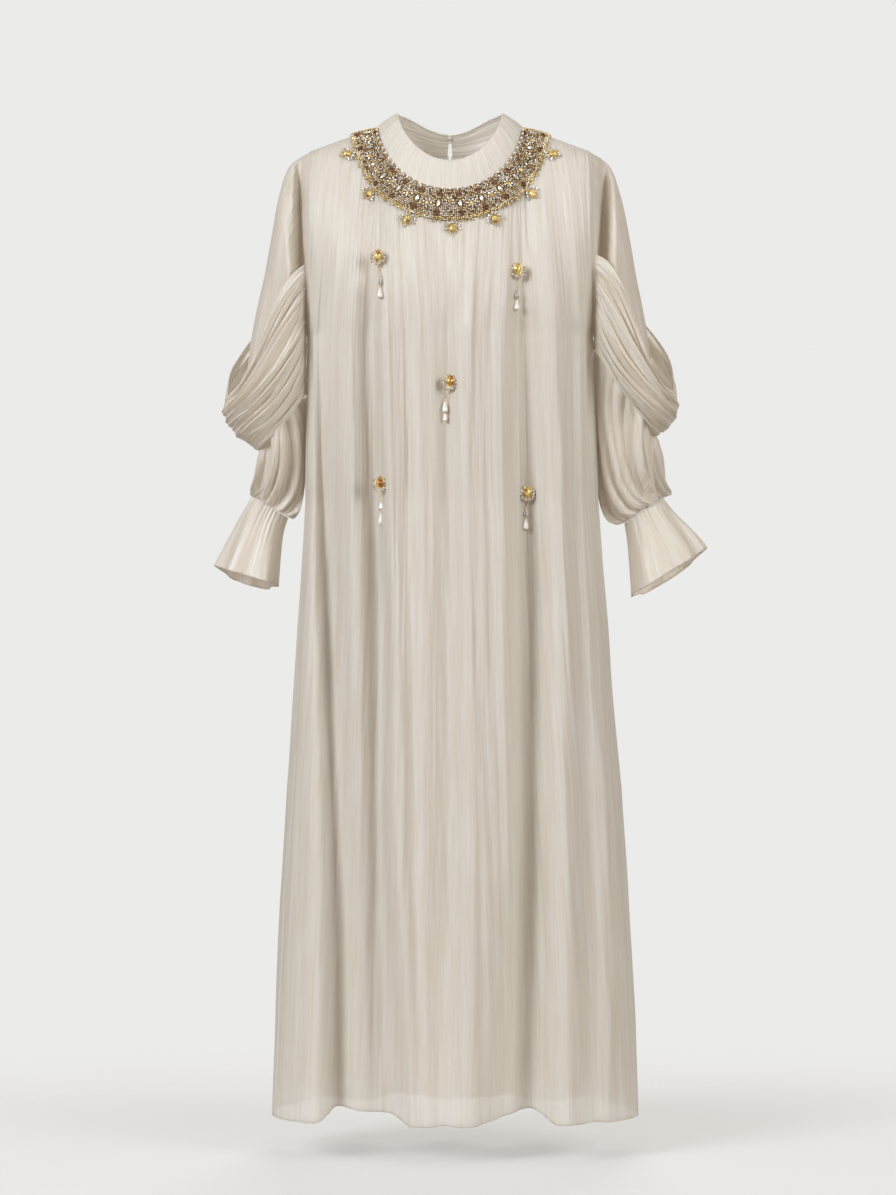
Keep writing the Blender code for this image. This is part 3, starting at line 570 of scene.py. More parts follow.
def lining_points(face, columns):
    """The panel's grid, moved in, a little less next to the shoulder seam."""
    hem = LINING_HEM_HEIGHT
    for waver in LINING_HEM_WAVERS:
        hem = hem + waver.height_mm * np.sin(waver.pace * columns + waver.start)
    points = panel_points(face, columns, LINING_CHEST_ROWS, LINING_SKIRT_ROWS, hem, LINING_FIRST_SHARE)
    rows = np.arange(len(points))[:, None, None]
    inset = np.interp(rows, [0, 6], [LINING_INSET_AT_TOP, LINING_INSET])
    points = points - squares(points, -face) * inset
    for edge in (0, -1):
        points[:, edge, 1] = face * np.maximum(face * points[:, edge, 1], SEAM_GAP)
    return points


lining_back_columns = slit_columns(LINING_COLUMNS)
open_lining = slit_faces(lining_back_columns, LINING_CHEST_ROWS)
for label, face, columns, missing in (
    ("front", -1, even_columns(-1, LINING_COLUMNS), ()),
    ("back", 1, lining_back_columns, open_lining),
):
    points = lining_points(face, columns)
    piece = sheet_object(f"{label}_lining", rolled(points, -face), lining_voile, -face, missing=missing)
    dress(piece, f"lining_{label}", area=area_of(points))

# %% [markdown]
# ## Stand collar
#
# A strip of the same chiffon, folded double, stands up round the neck and meets at the
# back. It leans in slightly, dips in front, and its top edge is a soft fold. One turn
# angle goes round the neck, and a share goes from the seam to the top.

# %% Collar
COLLAR_HALF_WIDTH = 76.0
COLLAR_DEPTHS = {-1: 68.0, 1: 62.0}
COLLAR_HEIGHTS = {-1: -44.0, 1: 7.0}
COLLAR_SIDE_HEIGHT = 31.0
COLLAR_DIPS = {-1: 1.3, 1: 4.0}
COLLAR_OPENINGS = np.array([5.0, 2.6])
COLLAR_BOW = 2.0
COLLAR_STANDS_OVER_SEAM = 1.0
FACING_INSET = 1.8


def collar_surface(turn, share):
    """Points on the collar. turn is 0 in front and half a turn at the back."""
    points = []
    for face in (-1, 1):
        quarter = np.clip(abs(turn) if face < 0 else math.pi - abs(turn), 0, math.pi / 2)
        base = top_edge(face, np.sign(turn) * quarter / (math.pi / 2) * NECK_SHARE)
        base[..., 1] -= face * BEND_GAP
        inwards = stacked(-np.sin(turn), np.cos(turn), 0.0)
        base = base + inwards * SEWN_ON_GAP + np.array([0, 0, COLLAR_STANDS_OVER_SEAM])
        lean = abs(np.cos(turn))
        top = stacked(
            COLLAR_HALF_WIDTH * np.sin(turn),
            face * COLLAR_DEPTHS[face] * lean ** NECK_SQUARENESS,
            COLLAR_SIDE_HEIGHT + (COLLAR_HEIGHTS[face] - COLLAR_SIDE_HEIGHT) * lean ** COLLAR_DIPS[face],
        )
        bow = -inwards * COLLAR_BOW * np.sin(math.pi * share.clip(0))[..., None]
        points.append(base + (top - base) * share[..., None] + bow)
    return np.where((np.cos(turn) > 0)[..., None], *points)


collar_shares = np.linspace(-0.12, 1.0, 26)[:, None]
half_opening = COLLAR_OPENINGS / 2 / COLLAR_HALF_WIDTH
half_opening = np.interp(collar_shares, (0, 1), half_opening)
collar_turns = np.linspace(-1, 1, 260)[None, :] * (math.pi - half_opening)
collar_points = collar_surface(*np.broadcast_arrays(collar_turns, collar_shares))
collar_cloth = crinkled(collar_points, -1, seed=31, rise_mm=0.5, cell_mm=7.0, long_mm=60.0)
collar = sheet_object("stand_collar", rolled(collar_cloth, -1, radius=1.3), satin_chiffon, -1)
dress(collar, "collar", area=area_of(collar_points))

facing_points = (collar_points - squares(collar_points, -1) * FACING_INSET)[3:-1].transpose(1, 0, 2)
facing_cloth = crinkled(facing_points, 1, seed=33, rise_mm=0.6, cell_mm=9.0, long_mm=70.0, flat_mm=3)
facing = sheet_object("collar_facing", facing_cloth, satin_chiffon, 1)
dress(facing, "collar", area=area_of(facing_points))

# %% [markdown]
# ## Sleeves
#
# Each sleeve is four pieces. A narrow upper sleeve hangs from the armhole. Over its end
# lies a cowl: a broad swag gathered into the armhole seam in front and behind, with a
# free upper rim. Below it the sleeve balloons and is gathered to the wrist, and a
# ruffle fans out under the wrist. Rings round the arm give all but the cowl, and a
# smooth curve through the rings fills in the rows between them.

# %% Sizes of the sleeves, the same as the plain model's
Section = namedtuple("Section", "inner_x inner_z outer_x outer_z middle front back")
UPPER_SLEEVE = {
    "left": [
        Section(209, -287, 229, -45, 0, 46, 50),
        Section(211, -288, 244, -86, 0, 60, 58),
        Section(214, -289, 255, -145, 2, 62, 58),
        Section(217, -292, 265, -200, 4, 58, 52),
        Section(224, -310, 277, -252, 6, 52, 47),
        Section(236, -330, 286, -300, 8, 43, 41),
        Section(252, -350, 291, -345, 10, 35, 35),
    ],
    "right": [
        Section(209, -287, 228, -45, 0, 46, 50),
        Section(211, -288, 245, -92, 0, 60, 58),
        Section(214, -289, 257, -150, 2, 62, 58),
        Section(217, -292, 266, -202, 4, 58, 52),
        Section(224, -310, 275, -245, 6, 52, 47),
        Section(236, -330, 283, -290, 8, 43, 41),
        Section(252, -350, 289, -340, 10, 35, 35),
    ],
}
Swag = namedtuple("Swag", "inner_z outer_x outer_z middle front back back_lift swing sag sag_at")
COWL = {
    "left": [
        Swag(-192, 320, -379, 0, 80, 76, 42, 17, 2, 1.0),
        Swag(-226, 323, -398, 2, 86, 82, 34, 8, 12, 0.9),
        Swag(-262, 318, -414, 4, 88, 84, 20, 0, 24, 0.75),
        Swag(-302, 304, -432, 8, 82, 79, 8, 0, 30, 0.6),
        Swag(-372, 274, -452, 14, 64, 62, 0, 0, 8, 0.8),
    ],
    "right": [
        Swag(-178, 321, -371, 0, 80, 76, 50, 24, 4, 1.0),
        Swag(-206, 325, -390, 2, 86, 82, 40, 10, 14, 0.9),
        Swag(-238, 322, -406, 4, 88, 84, 24, 0, 26, 0.75),
        Swag(-272, 311, -421, 8, 86, 82, 10, 0, 30, 0.6),
        Swag(-308, 295, -431, 14, 74, 70, 0, 0, 10, 0.8),
    ],
}
LOWER_SLEEVE = {
    "left": [
        Section(205.6, -374, 274, -450, 14, 63, 61),
        Section(205.8, -424, 280, -476, 16, 62, 62),
        Section(206.8, -480, 284, -498, 16, 51, 54),
        Section(211, -524, 284, -511, 15, 37, 42),
        Section(222, -548, 283, -516, 14, 30, 34),
        Section(232, -546, 282, -515, 14, 27, 27),
    ],
    "right": [
        Section(205.4, -310, 295, -430, 14, 73, 69),
        Section(207, -372, 304, -455, 15, 66, 66),
        Section(208.8, -440, 308, -482, 16, 60, 62),
        Section(211, -505, 308, -503, 16, 46, 50),
        Section(221, -545, 308, -517, 15, 35, 40),
        Section(236, -557, 308, -514, 14, 29, 31),
        Section(250, -554, 305, -518, 14, 27, 27),
    ],
}
CUFF_RUFFLE = {
    "left": [
        Section(232, -547.5, 283, -516.5, 14, 27, 27),
        Section(239, -570, 298, -543, 14, 32, 32),
        Section(243, -604, 315, -578, 13, 38, 38),
        Section(246, -642, 333, -616, 12, 44, 44),
    ],
    "right": [
        Section(250, -555, 305, -519, 14, 27, 27),
        Section(254, -578, 319, -539, 14, 32, 32),
        Section(257, -617, 341, -563, 13, 38, 38),
        Section(260, -656, 363, -592, 12, 44, 44),
    ],
}


print("each sleeve has", len(UPPER_SLEEVE["left"]), "rings down to the cowl")

# %% Rings round the arm, and smooth rows between them
ARMHOLE_INSET_Y, ARMHOLE_INSET_X = 0.8, 1.2


def smooth_rows(rows, count):
    """A smooth curve through the rows, read at this many even steps."""
    rows = np.asarray(rows, float)
    at = np.linspace(0, len(rows) - 1, count)
    first = np.minimum(at.astype(int), len(rows) - 2)
    share = (at - first).reshape((-1,) + (1,) * (rows.ndim - 1))
    before, after = rows[np.maximum(first - 1, 0)], rows[np.minimum(first + 2, len(rows) - 1)]
    start, end = rows[first], rows[first + 1]
    return 0.5 * (2 * start + (end - before) * share
                  + (2 * before - 5 * start + 4 * end - after) * share ** 2
                  + (3 * start - before - 3 * end + after) * share ** 3)


def arm_rings(side, table, turns, count, swell_mm=0.0, back_drop=0.0):
    """Rings round the arm from a table, with extra radius and a drop at the back."""
    inner_x, inner_z, outer_x, outer_z, middle, front, back = smooth_rows(table, count).T[:, :, None]
    turns = turns[None, :]
    swell = 1 + swell_mm / front
    reach = np.cos(turns) * swell
    x = np.maximum((inner_x + outer_x) / 2 + (inner_x - outer_x) / 2 * reach, inner_x)
    z = (inner_z + outer_z) / 2 + (inner_z - outer_z) / 2 * reach
    depth = np.where(np.sin(turns) > 0, front, back)
    z = z - back_drop * np.maximum(0, -np.sin(turns))
    return stacked(side * x, middle - depth * np.sin(turns) * swell, z)


def armhole_ring(side, turns):
    """The armhole's edge, moved out to the sleeve's side of the seam."""
    shares = (1 + np.cos(turns)) / 2
    across = np.full_like(shares, float(side))
    ring = np.where((np.sin(turns) >= 0)[:, None],
                    chest_surface(-1, across, shares), chest_surface(1, across, shares))
    ring[np.isclose(abs(np.cos(turns)), 1), 1] = 0
    inwards = np.where(np.sin(turns) >= 0, 1.0, -1.0)[:, None] * np.array([0, 1.0, 0])
    return ring + inwards * ARMHOLE_INSET_Y - np.array([side * ARMHOLE_INSET_X, 0, 0])


def ring_turns(count):
    return np.linspace(0, 2 * math.pi, count, endpoint=False)


def hang_sleeve(kind, node, points, side, flat, held="hung", hemmed=True, **crinkle):
    """Crinkles one tube of a sleeve, rolls a hem at its free end, and dresses its solid."""
    cloth = crinkled(points, side, closed=True, **crinkle)
    if hemmed:
        cloth = rolled(cloth, side, closed=True)
    label = "left" if side < 0 else "right"
    tube = sheet_object(f"{kind}_{label}", cloth, sleeve_chiffon, side, closed=True)
    dress(tube, f"{node}_{label}", area=area_of(points, closed=True))


# %% [markdown]
# ### Upper sleeve
#
# It hangs almost flat against the body, so a deep hollow runs straight down beside the
# armhole seam, in front and behind. The other creases are shallow and hang as straight.
# Each is a line from one height to another, pressed towards the middle of the sleeve.

# %% Upper sleeves
SIDES = {"left": -1, "right": 1}
CREASE_TOP, CREASE_FOOT = -55.0, -290.0
CREASE_START, CREASE_FADE = 25.0, 70.0
CREASED_FROM, CREASED_OVER = 202, 3
DEEPEST_CREASE = 0.82
Crease = namedtuple("Crease", "top foot reach depth")
UPPER_CREASES = {
    "left": [
        Crease(205, 205, 1.2, 3.0),
        Crease(215, 209, 3.6, 34.0),
        Crease(226, 224, 5.0, -3.0),
        Crease(232, 246, 5.0, 4.0),
        Crease(238, 262, 5.0, 2.5),
    ],
    "right": [
        Crease(205, 205, 1.2, 3.0),
        Crease(221, 214, 5.0, 36.0),
        Crease(233, 230, 5.0, -3.0),
        Crease(238, 250, 5.0, 4.0),
        Crease(243, 266, 5.0, 2.5),
    ],
}
UPPER_ROWS, UPPER_COLUMNS = 90, 200


def creased(points, creases):
    """Presses creases that hang straight down into the front and the back of the sleeve."""
    out, height = abs(points[..., 0]), points[..., 2]
    depth = 0.0
    for crease in creases:
        place = np.interp(height, [CREASE_FOOT, CREASE_TOP], [crease.foot, crease.top])
        depth = depth + crease.depth * np.exp(-0.5 * ((out - place) / crease.reach) ** 2)
    fade = np.clip((CREASE_TOP + CREASE_START - height) / CREASE_FADE, 0, 1) ** 0.7
    fade = fade * np.clip((out - CREASED_FROM) / CREASED_OVER, 0, 1)
    most = abs(points[..., 1]) * DEEPEST_CREASE
    pressed = points.copy()
    pressed[..., 1] -= np.sign(points[..., 1]) * np.minimum(depth * fade, most)
    return pressed


turns = ring_turns(UPPER_COLUMNS)
for label, side in SIDES.items():
    table = UPPER_SLEEVE[label]
    hung = arm_rings(side, table, turns, len(table))
    points = smooth_rows(np.concatenate([armhole_ring(side, turns)[None], hung]), UPPER_ROWS)
    hang_sleeve("upper_sleeve_cloth", "upper_sleeve", creased(points, UPPER_CREASES[label]), side,
                flat=(0.50, 0.36), seed=41 + side, rise_mm=0.6, cell_mm=12, long_mm=160)

# %% [markdown]
# ### Cowl
#
# Eighteen gathers leave the armhole seam, drop steeply, and swing round the arm.
# Gathered cloth makes rounded ridges that meet in sharp hollows. Each ridge is a small
# arch with its own height and its own wandering path, and the highest arch at a place
# is the cloth, so that ridges run into each other. The rim's own edge is a rolled hem.

# %% Gathers
def gathers(at, along, count, seed, wander, closed=False):
    """Rounded ridges with sharp hollows between them, from 0 to 1, that wander as they run."""
    random = np.random.default_rng(seed)
    height = 0.0
    for number in range(count):
        middle = (number + 0.5 + random.uniform(-0.3, 0.3)) / count
        swerve = np.sin(along * random.uniform(2.0, 4.5) + random.uniform(0, 6.3))
        apart = at - middle - wander / count * swerve
        if closed:
            apart = (apart + 0.5) % 1 - 0.5
        reach = random.uniform(0.5, 0.75) / count
        top = random.uniform(0.6, 1.0) * (0.8 + 0.2 * np.sin(along * random.uniform(3, 7) + 6 * middle))
        height = np.maximum(height, top * (1 - (apart / reach) ** 2))
    return height


one_gather = gathers(np.linspace(0, 1, 201), 0.0, count=1, seed=1, wander=0)
print("a single gather rises to", round(float(one_gather.max()), 2), "of the full height")


# %% Cowls
COWL_SEAM_X = 205.4
COWL_SEAM_FOOT = UNDERARM_HEIGHT - 9.0
COWL_SEAM_STANDS, COWL_SEAM_CROWDING = 5.6, 1.35
COWL_FULLNESS = 0.42
COWL_FOLDS, COWL_FOLD_MM = 4, 3.5
COWL_GATHERS, COWL_GATHER_MM = 18, 12.0
COWL_TIP_REACH, FOLD_LOST_AT_TIP, GATHER_LOST_AT_TIP = 0.22, 0.85, 0.8
COWL_EDGE_SHARE = 8
COWL_ROWS, COWL_COLUMNS = 150, 200


def cowl_seam(height):
    """How far forward of the side seam the cowl is sewn, just outside the armhole's edge."""
    down = (SHOULDER_HEIGHT - height) / (SHOULDER_HEIGHT - COWL_SEAM_FOOT)
    share = np.clip(down, 0, 1) ** (1 / COWL_SEAM_CROWDING)
    stands = COWL_SEAM_STANDS * np.maximum(np.sin(math.pi * share), 0) ** 0.5 + armhole_bulge(share)
    return np.where(height <= COWL_SEAM_FOOT, 0.0, stands) + SEWN_ON_GAP


def cowl_points(side, table):
    """Rows from the lower seam up to the free rim; columns from the front seam to the back."""
    fields = np.array(table, float).T
    place = np.linspace(1, 0, COWL_ROWS)
    at = place * (len(table) - 1)
    inner_z, outer_x, outer_z, middle, front, back, back_lift, swing, sag, sag_at = [
        np.interp(at, range(len(table)), field)[:, None] for field in fields
    ]
    run = np.linspace(-1, 1, COWL_COLUMNS)[None, :]
    place = place[:, None]
    fade = np.sin(math.pi / 2 * np.minimum(1, np.minimum(place, 1 - place) * COWL_EDGE_SHARE))
    inward = 1 - abs(run)
    tip = np.exp(-0.5 * (run / COWL_TIP_REACH) ** 2)
    folds = COWL_FOLD_MM * np.cos(2 * math.pi * COWL_FOLDS * place + 1.6 * run)
    small = COWL_GATHER_MM * (gathers(place, run, COWL_GATHERS, 8 + side, 0.8) - 0.5)
    out = (folds * (1 - FOLD_LOST_AT_TIP * tip) + small * (1 - GATHER_LOST_AT_TIP * tip)) * fade
    depth = np.where(run < 0, front, back)
    start = np.arcsin((cowl_seam(inner_z) / depth) ** (1 / COWL_FULLNESS))
    turn = start + (math.pi - start) * inward
    share = (np.cos(start) - np.cos(turn)) / (np.cos(start) + 1)
    x = COWL_SEAM_X + (outer_x - COWL_SEAM_X + out) * share
    y = np.sign(run + 1e-9) * (depth + out) * np.sin(turn) ** COWL_FULLNESS
    y = y + middle * np.sin(math.pi / 2 * inward)
    share = np.clip(share, 0, 1)
    hung = swing * np.sin(2 * math.pi * share) - sag * np.sin(math.pi * share ** sag_at)
    risen = back_lift * np.sin(math.pi * np.clip(run, 0, 1) ** 0.5)
    z = inner_z + (outer_z - inner_z) * share + np.where(run > 0, risen, hung)
    return stacked(side * x, y, z)


for label, side in SIDES.items():
    points = cowl_points(side, COWL[label])
    along = points.transpose(1, 0, 2)
    cloth = crinkled(along, side, seed=53 + side, rise_mm=0.8, cell_mm=7, long_mm=90, flat_mm=8)
    cloth = rolled(cloth.transpose(1, 0, 2), -side).transpose(1, 0, 2)
    cowl = sheet_object(f"cowl_cloth_{label}", cloth, sleeve_chiffon, side)
    dress(cowl, f"sleeve_drape_{label}", area=area_of(points))

# %% [markdown]
# ### Ballooned lower sleeve and ruffle
#
# Gathering a wide tube to the wrist gives long, slightly curved pleats. The same arches
# as on the cowl, round the ring, make them, and finer ones run through the wrist. Under
# it the same cloth is free, so the pleats open into a few broad waves with smaller
# flutes between them. The balloon has no hem: its last row is the row of gathers.

# %% Lower sleeves and ruffles
PLEATS, PLEAT_MM = 20, 25.0
PLEAT_SWERVE, PLEAT_BENDS = 0.05, 5.5
PLEAT_LEAST, PLEAT_GAIN, FULLEST_BY, PLEAT_LOST_AT_WRIST = 0.45, 0.55, 0.85, 0.6
LOWER_ROWS, LOWER_COLUMNS = 90, 260
WRIST_GATHERS, WRIST_GATHER_MM = 38, 3.4
WAVES, WAVE_MM = 6, 5.0
FLUTES, FLUTE_MM = 13, 3.4
RUFFLE_ROWS, RUFFLE_COLUMNS = 56, 260
RUFFLE_BACK_DROP = 14.0


def rounded(round_arm, along, count, seed, wander):
    """Gathers round a ring, half of each outside the plain form and half inside."""
    return gathers(round_arm, along, count, seed, wander, closed=True) - 0.5


def lower_sleeve_points(label, side):
    turns = ring_turns(LOWER_COLUMNS)
    place = np.linspace(0, 1, LOWER_ROWS)[:, None]
    round_arm = turns[None, :] / (2 * math.pi) + PLEAT_SWERVE * np.sin(PLEAT_BENDS * place)
    full = PLEAT_LEAST + PLEAT_GAIN * np.sin(math.pi * np.clip(place, 0, FULLEST_BY))
    swell = PLEAT_MM * full * rounded(round_arm, place, PLEATS, 15 + side, 0.9)
    close = rounded(round_arm, 0 * place, WRIST_GATHERS, 25 + side, 0)
    swell = swell * (1 - PLEAT_LOST_AT_WRIST * place ** 6) + WRIST_GATHER_MM * close * place ** 3
    return arm_rings(side, LOWER_SLEEVE[label], turns, LOWER_ROWS, swell)


def ruffle_points(label, side):
    turns = ring_turns(RUFFLE_COLUMNS)
    place = np.linspace(0, 1, RUFFLE_ROWS)[:, None]
    round_arm = turns[None, :] / (2 * math.pi)
    close = rounded(round_arm, 0 * place, WRIST_GATHERS, 25 + side, 0)
    waves = WAVE_MM * place * np.cos(WAVES * turns[None, :])
    waves = waves + FLUTE_MM * place * rounded(round_arm, place, FLUTES, 35 + side, 0.4)
    waves = waves + WRIST_GATHER_MM * close * (1 - place) ** 1.5
    return arm_rings(side, CUFF_RUFFLE[label], turns, RUFFLE_ROWS, waves, RUFFLE_BACK_DROP * place)


for label, side in SIDES.items():
    hang_sleeve("lower_sleeve_cloth", "lower_sleeve", lower_sleeve_points(label, side), side,
                flat=(0.40, 0.25), held="gathered", hemmed=False,
                seed=61 + side, rise_mm=0.6, cell_mm=12, long_mm=90)
    hang_sleeve("ruffle_cloth", "cuff_ruffle", ruffle_points(label, side), side,
                flat=(0.36, 0.13), held="gathered",
                seed=71 + side, rise_mm=0.5, cell_mm=9, long_mm=60)

# %% [markdown]
# ## Beads and cut stones
#
# The neckline is covered with seed beads of about 2 mm, glass stones in gilt settings,
# and pearls. A bump map could only hint at them, because real beads catch the light one
# by one. So each is a small form of its own. All are turned shapes: one function makes
# them from a profile of radius and height, and another copies them into one mesh.

# %% Turned shapes
Shape = namedtuple("Shape", "points faces smooth")


def turned(profile, steps, closed=False, smooth=True, pointed=0.0):
    """Turns (radius, height) pairs, from the bottom up, about the z axis."""
    radius, height = np.array(profile, float).T[:, :, None]
    turns = 2 * math.pi * np.arange(steps) / steps
    x, y = radius * np.cos(turns), radius * np.sin(turns)
    points = stacked(x * (1 - pointed * np.sin(turns) ** 2), y, height).reshape(-1, 3)
    rows = len(profile)
    faces = []
    for row in range(rows if closed else rows - 1):
        here, above = row * steps, (row + 1) % rows * steps
        for step in range(steps):
            after = (step + 1) % steps
            faces.append((here + step, here + after, above + after, above + step))
    if not closed:
        faces.append(tuple(range(steps))[::-1])
        faces.append(tuple(range((rows - 1) * steps, rows * steps)))
    return Shape(points, faces, smooth)


def ball(rings, steps):
    """A round bead of radius 1, with a small flat at each end, as at the ends of its hole."""
    angles = [math.pi * (ring + 0.6) / (rings + 0.2) for ring in range(rings)]
    return turned([(math.sin(angle), -math.cos(angle)) for angle in angles], steps)


SEED = ball(3, 6)
BEAD = ball(5, 8)
PEARL = ball(9, 14)
DROP = turned([(0.3, -1), (0.72, -0.9), (0.97, -0.72), (1, -0.5), (0.86, -0.15),
               (0.6, 0.3), (0.36, 0.68), (0.14, 1)], 14)
CUT_DROP = turned([(0.1, -1), (0.8, -0.66), (1, -0.4), (0.62, 0.3), (0.12, 1)], 7, smooth=False)
CUT = turned([(0.72, -0.5), (1, 0), (0.86, 0.42), (0.55, 0.7)], 8, smooth=False)
GEM = turned([(0.75, -0.5), (1, 0), (0.86, 0.42), (0.66, 0.66), (0.36, 0.8)], 10, smooth=False)
NAVETTE = turned([(0.7, -0.5), (1, 0), (0.82, 0.42), (0.45, 0.7)], 8, smooth=False, pointed=0.45)
SETTING = turned([(0.98, -0.6), (1.16, -0.6), (1.18, 0.1), (1.1, 0.24), (1, 0.16)], 16, closed=True)
print("a seed bead has", sum(len(face) - 2 for face in SEED.faces), "triangles")


# %% Many copies joined into one mesh
def unit(vectors):
    return vectors / np.linalg.norm(vectors, axis=-1, keepdims=True)


class Cluster:
    """Collects copies of turned shapes and joins them into one piece.

    A finish goes by its short name, such as gilt. The next section makes the finishes.
    """

    def __init__(self):
        self.points, self.faces, self.smooth, self.finishes, self.count = [], [], [], [], 0

    def add(self, shape, finish, places, out, along, half_sizes, lift=0.0):
        """Copies a shape, lifted out from its places. Its z axis is turned to out, its y to along."""
        places, out, along = (np.atleast_2d(np.asarray(part, float)) for part in (places, out, along))
        places = places + out * lift
        half_sizes = np.asarray(half_sizes) * np.ones(3)
        out = unit(out)
        along = unit(along - out * (along * out).sum(axis=1, keepdims=True))
        axes = np.stack(np.broadcast_arrays(np.cross(along, out), along, out), axis=1)
        axes = axes * np.reshape(half_sizes, (-1, 3, 1))
        copies = np.einsum("pa,nab->npb", shape.points, axes) + places[:, None]
        for start in range(self.count, self.count + len(copies) * len(shape.points), len(shape.points)):
            self.faces.extend([start + corner for corner in face] for face in shape.faces)
        self.points.append(copies.reshape(-1, 3))
        self.smooth += [shape.smooth] * (len(shape.faces) * len(copies))
        self.finishes += [finishes[finish]] * (len(shape.faces) * len(copies))
        self.count += len(copies) * len(shape.points)

    def set_stone(self, cut, finish, places, out, along, half_sizes, rim, lift=0.0):
        """A stone, and round it a gilt setting whose half height is rim."""
        self.add(cut, finish, places, out, along, half_sizes, lift)
        self.add(SETTING, "gilt", places, out, along, (*half_sizes[:2], rim), lift)

    def join(self, name):
        mesh = bpy.data.meshes.new(name)
        mesh.from_pydata((np.concatenate(self.points) * MM).tolist(), [], self.faces)
        mesh.polygons.foreach_set("use_smooth", self.smooth)
        used = sorted(set(self.finishes), key=lambda finish: finish.name)
        for finish in used:
            mesh.materials.append(finish)
        mesh.polygons.foreach_set("material_index", [used.index(finish) for finish in self.finishes])
        piece = bpy.data.objects.new(name, mesh)
        bpy.context.collection.objects.link(piece)
        return piece


# %% [markdown]
# ### What the beads are made of
#
# Seed beads are glass lined with gold or bronze, so they shine like metal under a clear
# coat. Foil behind the crystals and the amber stones throws the light back in the same
# way. No batch is all one tone. Noise with patches about as large as a bead drifts
# between a dark and a light tone, so neighbours differ.

# %% Finishes: dark and light tone, metallic, roughness, coat, size of the patches in mm
Finish = namedtuple("Finish", "name dark light metallic roughness coat patch_mm")
FINISHES = {
    "gold": Finish("gold-lined glass seed bead", "#A07E4C", "#F2DEB0", 0.5, 0.22, 0.8, 2.8),
    "champagne": Finish("champagne-lined glass seed bead", "#CDBB9F", "#FFFAF0", 0.3, 0.2, 0.9, 2.8),
    "bronze": Finish("bronze glass seed bead", "#4A2E18", "#9A7448", 0.4, 0.2, 0.9, 2.8),
    "rope": Finish("yellow gilt brass bead", "#B8954F", "#F8E5A8", 0.6, 0.26, 0.4, 3.0),
    "gilt": Finish("gilt brass setting", "#B8955A", "#F4E0AC", 0.7, 0.22, 0.3, 5.0),
    "crystal": Finish("foiled clear crystal", "#8A7F70", "#FFFFFF", 0.5, 0.05, 1.0, 1.4),
    "amber": Finish("foiled amber glass", "#8A5216", "#F0B450", 0.35, 0.08, 1.0, 5.0),
    "topaz": Finish("foiled topaz glass", "#9A7228", "#F8DC84", 0.35, 0.08, 1.0, 5.0),
    "garnet": Finish("garnet glass", "#3A160C", "#9A5230", 0.3, 0.08, 1.0, 2.0),
    "pearl": Finish("glass pearl", "#EFE6DA", "#FFFDF8", 0.0, 0.2, 0.7, 4.0),
    # Painted shade: the net under the beads is dark bronze, so the gaps between the beads look shaded.
    "shade_net": Finish("bronze bead net", "#54402A", "#927650", 0.2, 0.6, 0.0, 0.9),
}
DARK_BELOW, LIGHT_ABOVE = 0.36, 0.64
DULLEST, GLOSSIEST = 1.5, 0.6


def jewel_finish(look):
    """A shiny finish whose tone and gloss drift from bead to bead."""
    finish = bpy.data.materials.new(look.name)
    finish.use_nodes = True
    tree = finish.node_tree
    face = tree.nodes["Principled BSDF"]
    place = add_node(tree, "ShaderNodeTexCoord").outputs["Object"]
    batch = add_node(tree, "ShaderNodeTexNoise", {
        "Vector": place, "Scale": 1 / (look.patch_mm * MM), "Detail": 1.0,
    }).outputs[0]
    tone = add_node(tree, "ShaderNodeMapRange", {0: batch, 1: DARK_BELOW, 2: LIGHT_ABOVE}).outputs[0]
    colour = add_node(tree, "ShaderNodeMix", {0: tone, 6: linear(look.dark), 7: linear(look.light)},
                      data_type="RGBA")
    gloss = add_node(tree, "ShaderNodeMapRange", {
        0: batch, 3: look.roughness * DULLEST, 4: look.roughness * GLOSSIEST,
    })
    tree.links.new(colour.outputs[2], face.inputs["Base Color"])
    tree.links.new(gloss.outputs[0], face.inputs["Roughness"])
    face.inputs["Metallic"].default_value = look.metallic
    face.inputs["Coat Weight"].default_value = look.coat
    face.inputs["Coat Roughness"].default_value = 0.05
    return finish


finishes = {key: jewel_finish(look) for key, look in FINISHES.items()}
print(len(finishes), "finishes for beads, stones and settings")

# %% [markdown]
# ### The way over the cloth
#
# The band keeps an even width on cloth that curves over the shoulders. So its places are
# found as an embroiderer would, by walking out from the neckline over the cloth. There
# are 177 walks, each from its own place round the neck, and each notes where it is at
# every millimetre. All later places are read between those.

# %% Walks over the front, from the neckline outwards
BAND_END, BAND_WIDTH, BAND_WIDTH_GAIN = math.radians(88), 44.0, 7.0
WALKS, WALK_LENGTH = 177, 76
NUDGE = 0.002
walk_turns = np.linspace(-BAND_END, BAND_END, WALKS)
grid = np.arange(front_points.shape[0] * front_points.shape[1]).reshape(front_points.shape[:2])
cells = np.stack([grid[:-1, :-1], grid[1:, :-1], grid[1:, 1:], grid[:-1, 1:]], axis=-1).reshape(-1, 4)
front_form = BVHTree.FromPolygons(front_points.reshape(-1, 3).tolist(), cells.tolist())
walked = np.zeros((len(walk_turns), WALK_LENGTH + 1, 3, 3))
for index, turn in enumerate(walk_turns):
    share = turn / (math.pi / 2) * NECK_SHARE
    before, spot, after = (Vector(top_edge(-1, np.array(share + step))) for step in (-NUDGE, 0, NUDGE))
    for distance in range(WALK_LENGTH + 1):
        spot, square, _, _ = front_form.find_nearest(spot)
        onwards = (after - before).cross(square).normalized()
        walked[index, distance] = spot, square, onwards
        spot = spot + onwards


def band_width(turn):
    """The beaded band is a little wider in front than on the shoulders."""
    return BAND_WIDTH + BAND_WIDTH_GAIN * np.cos(turn) ** 2


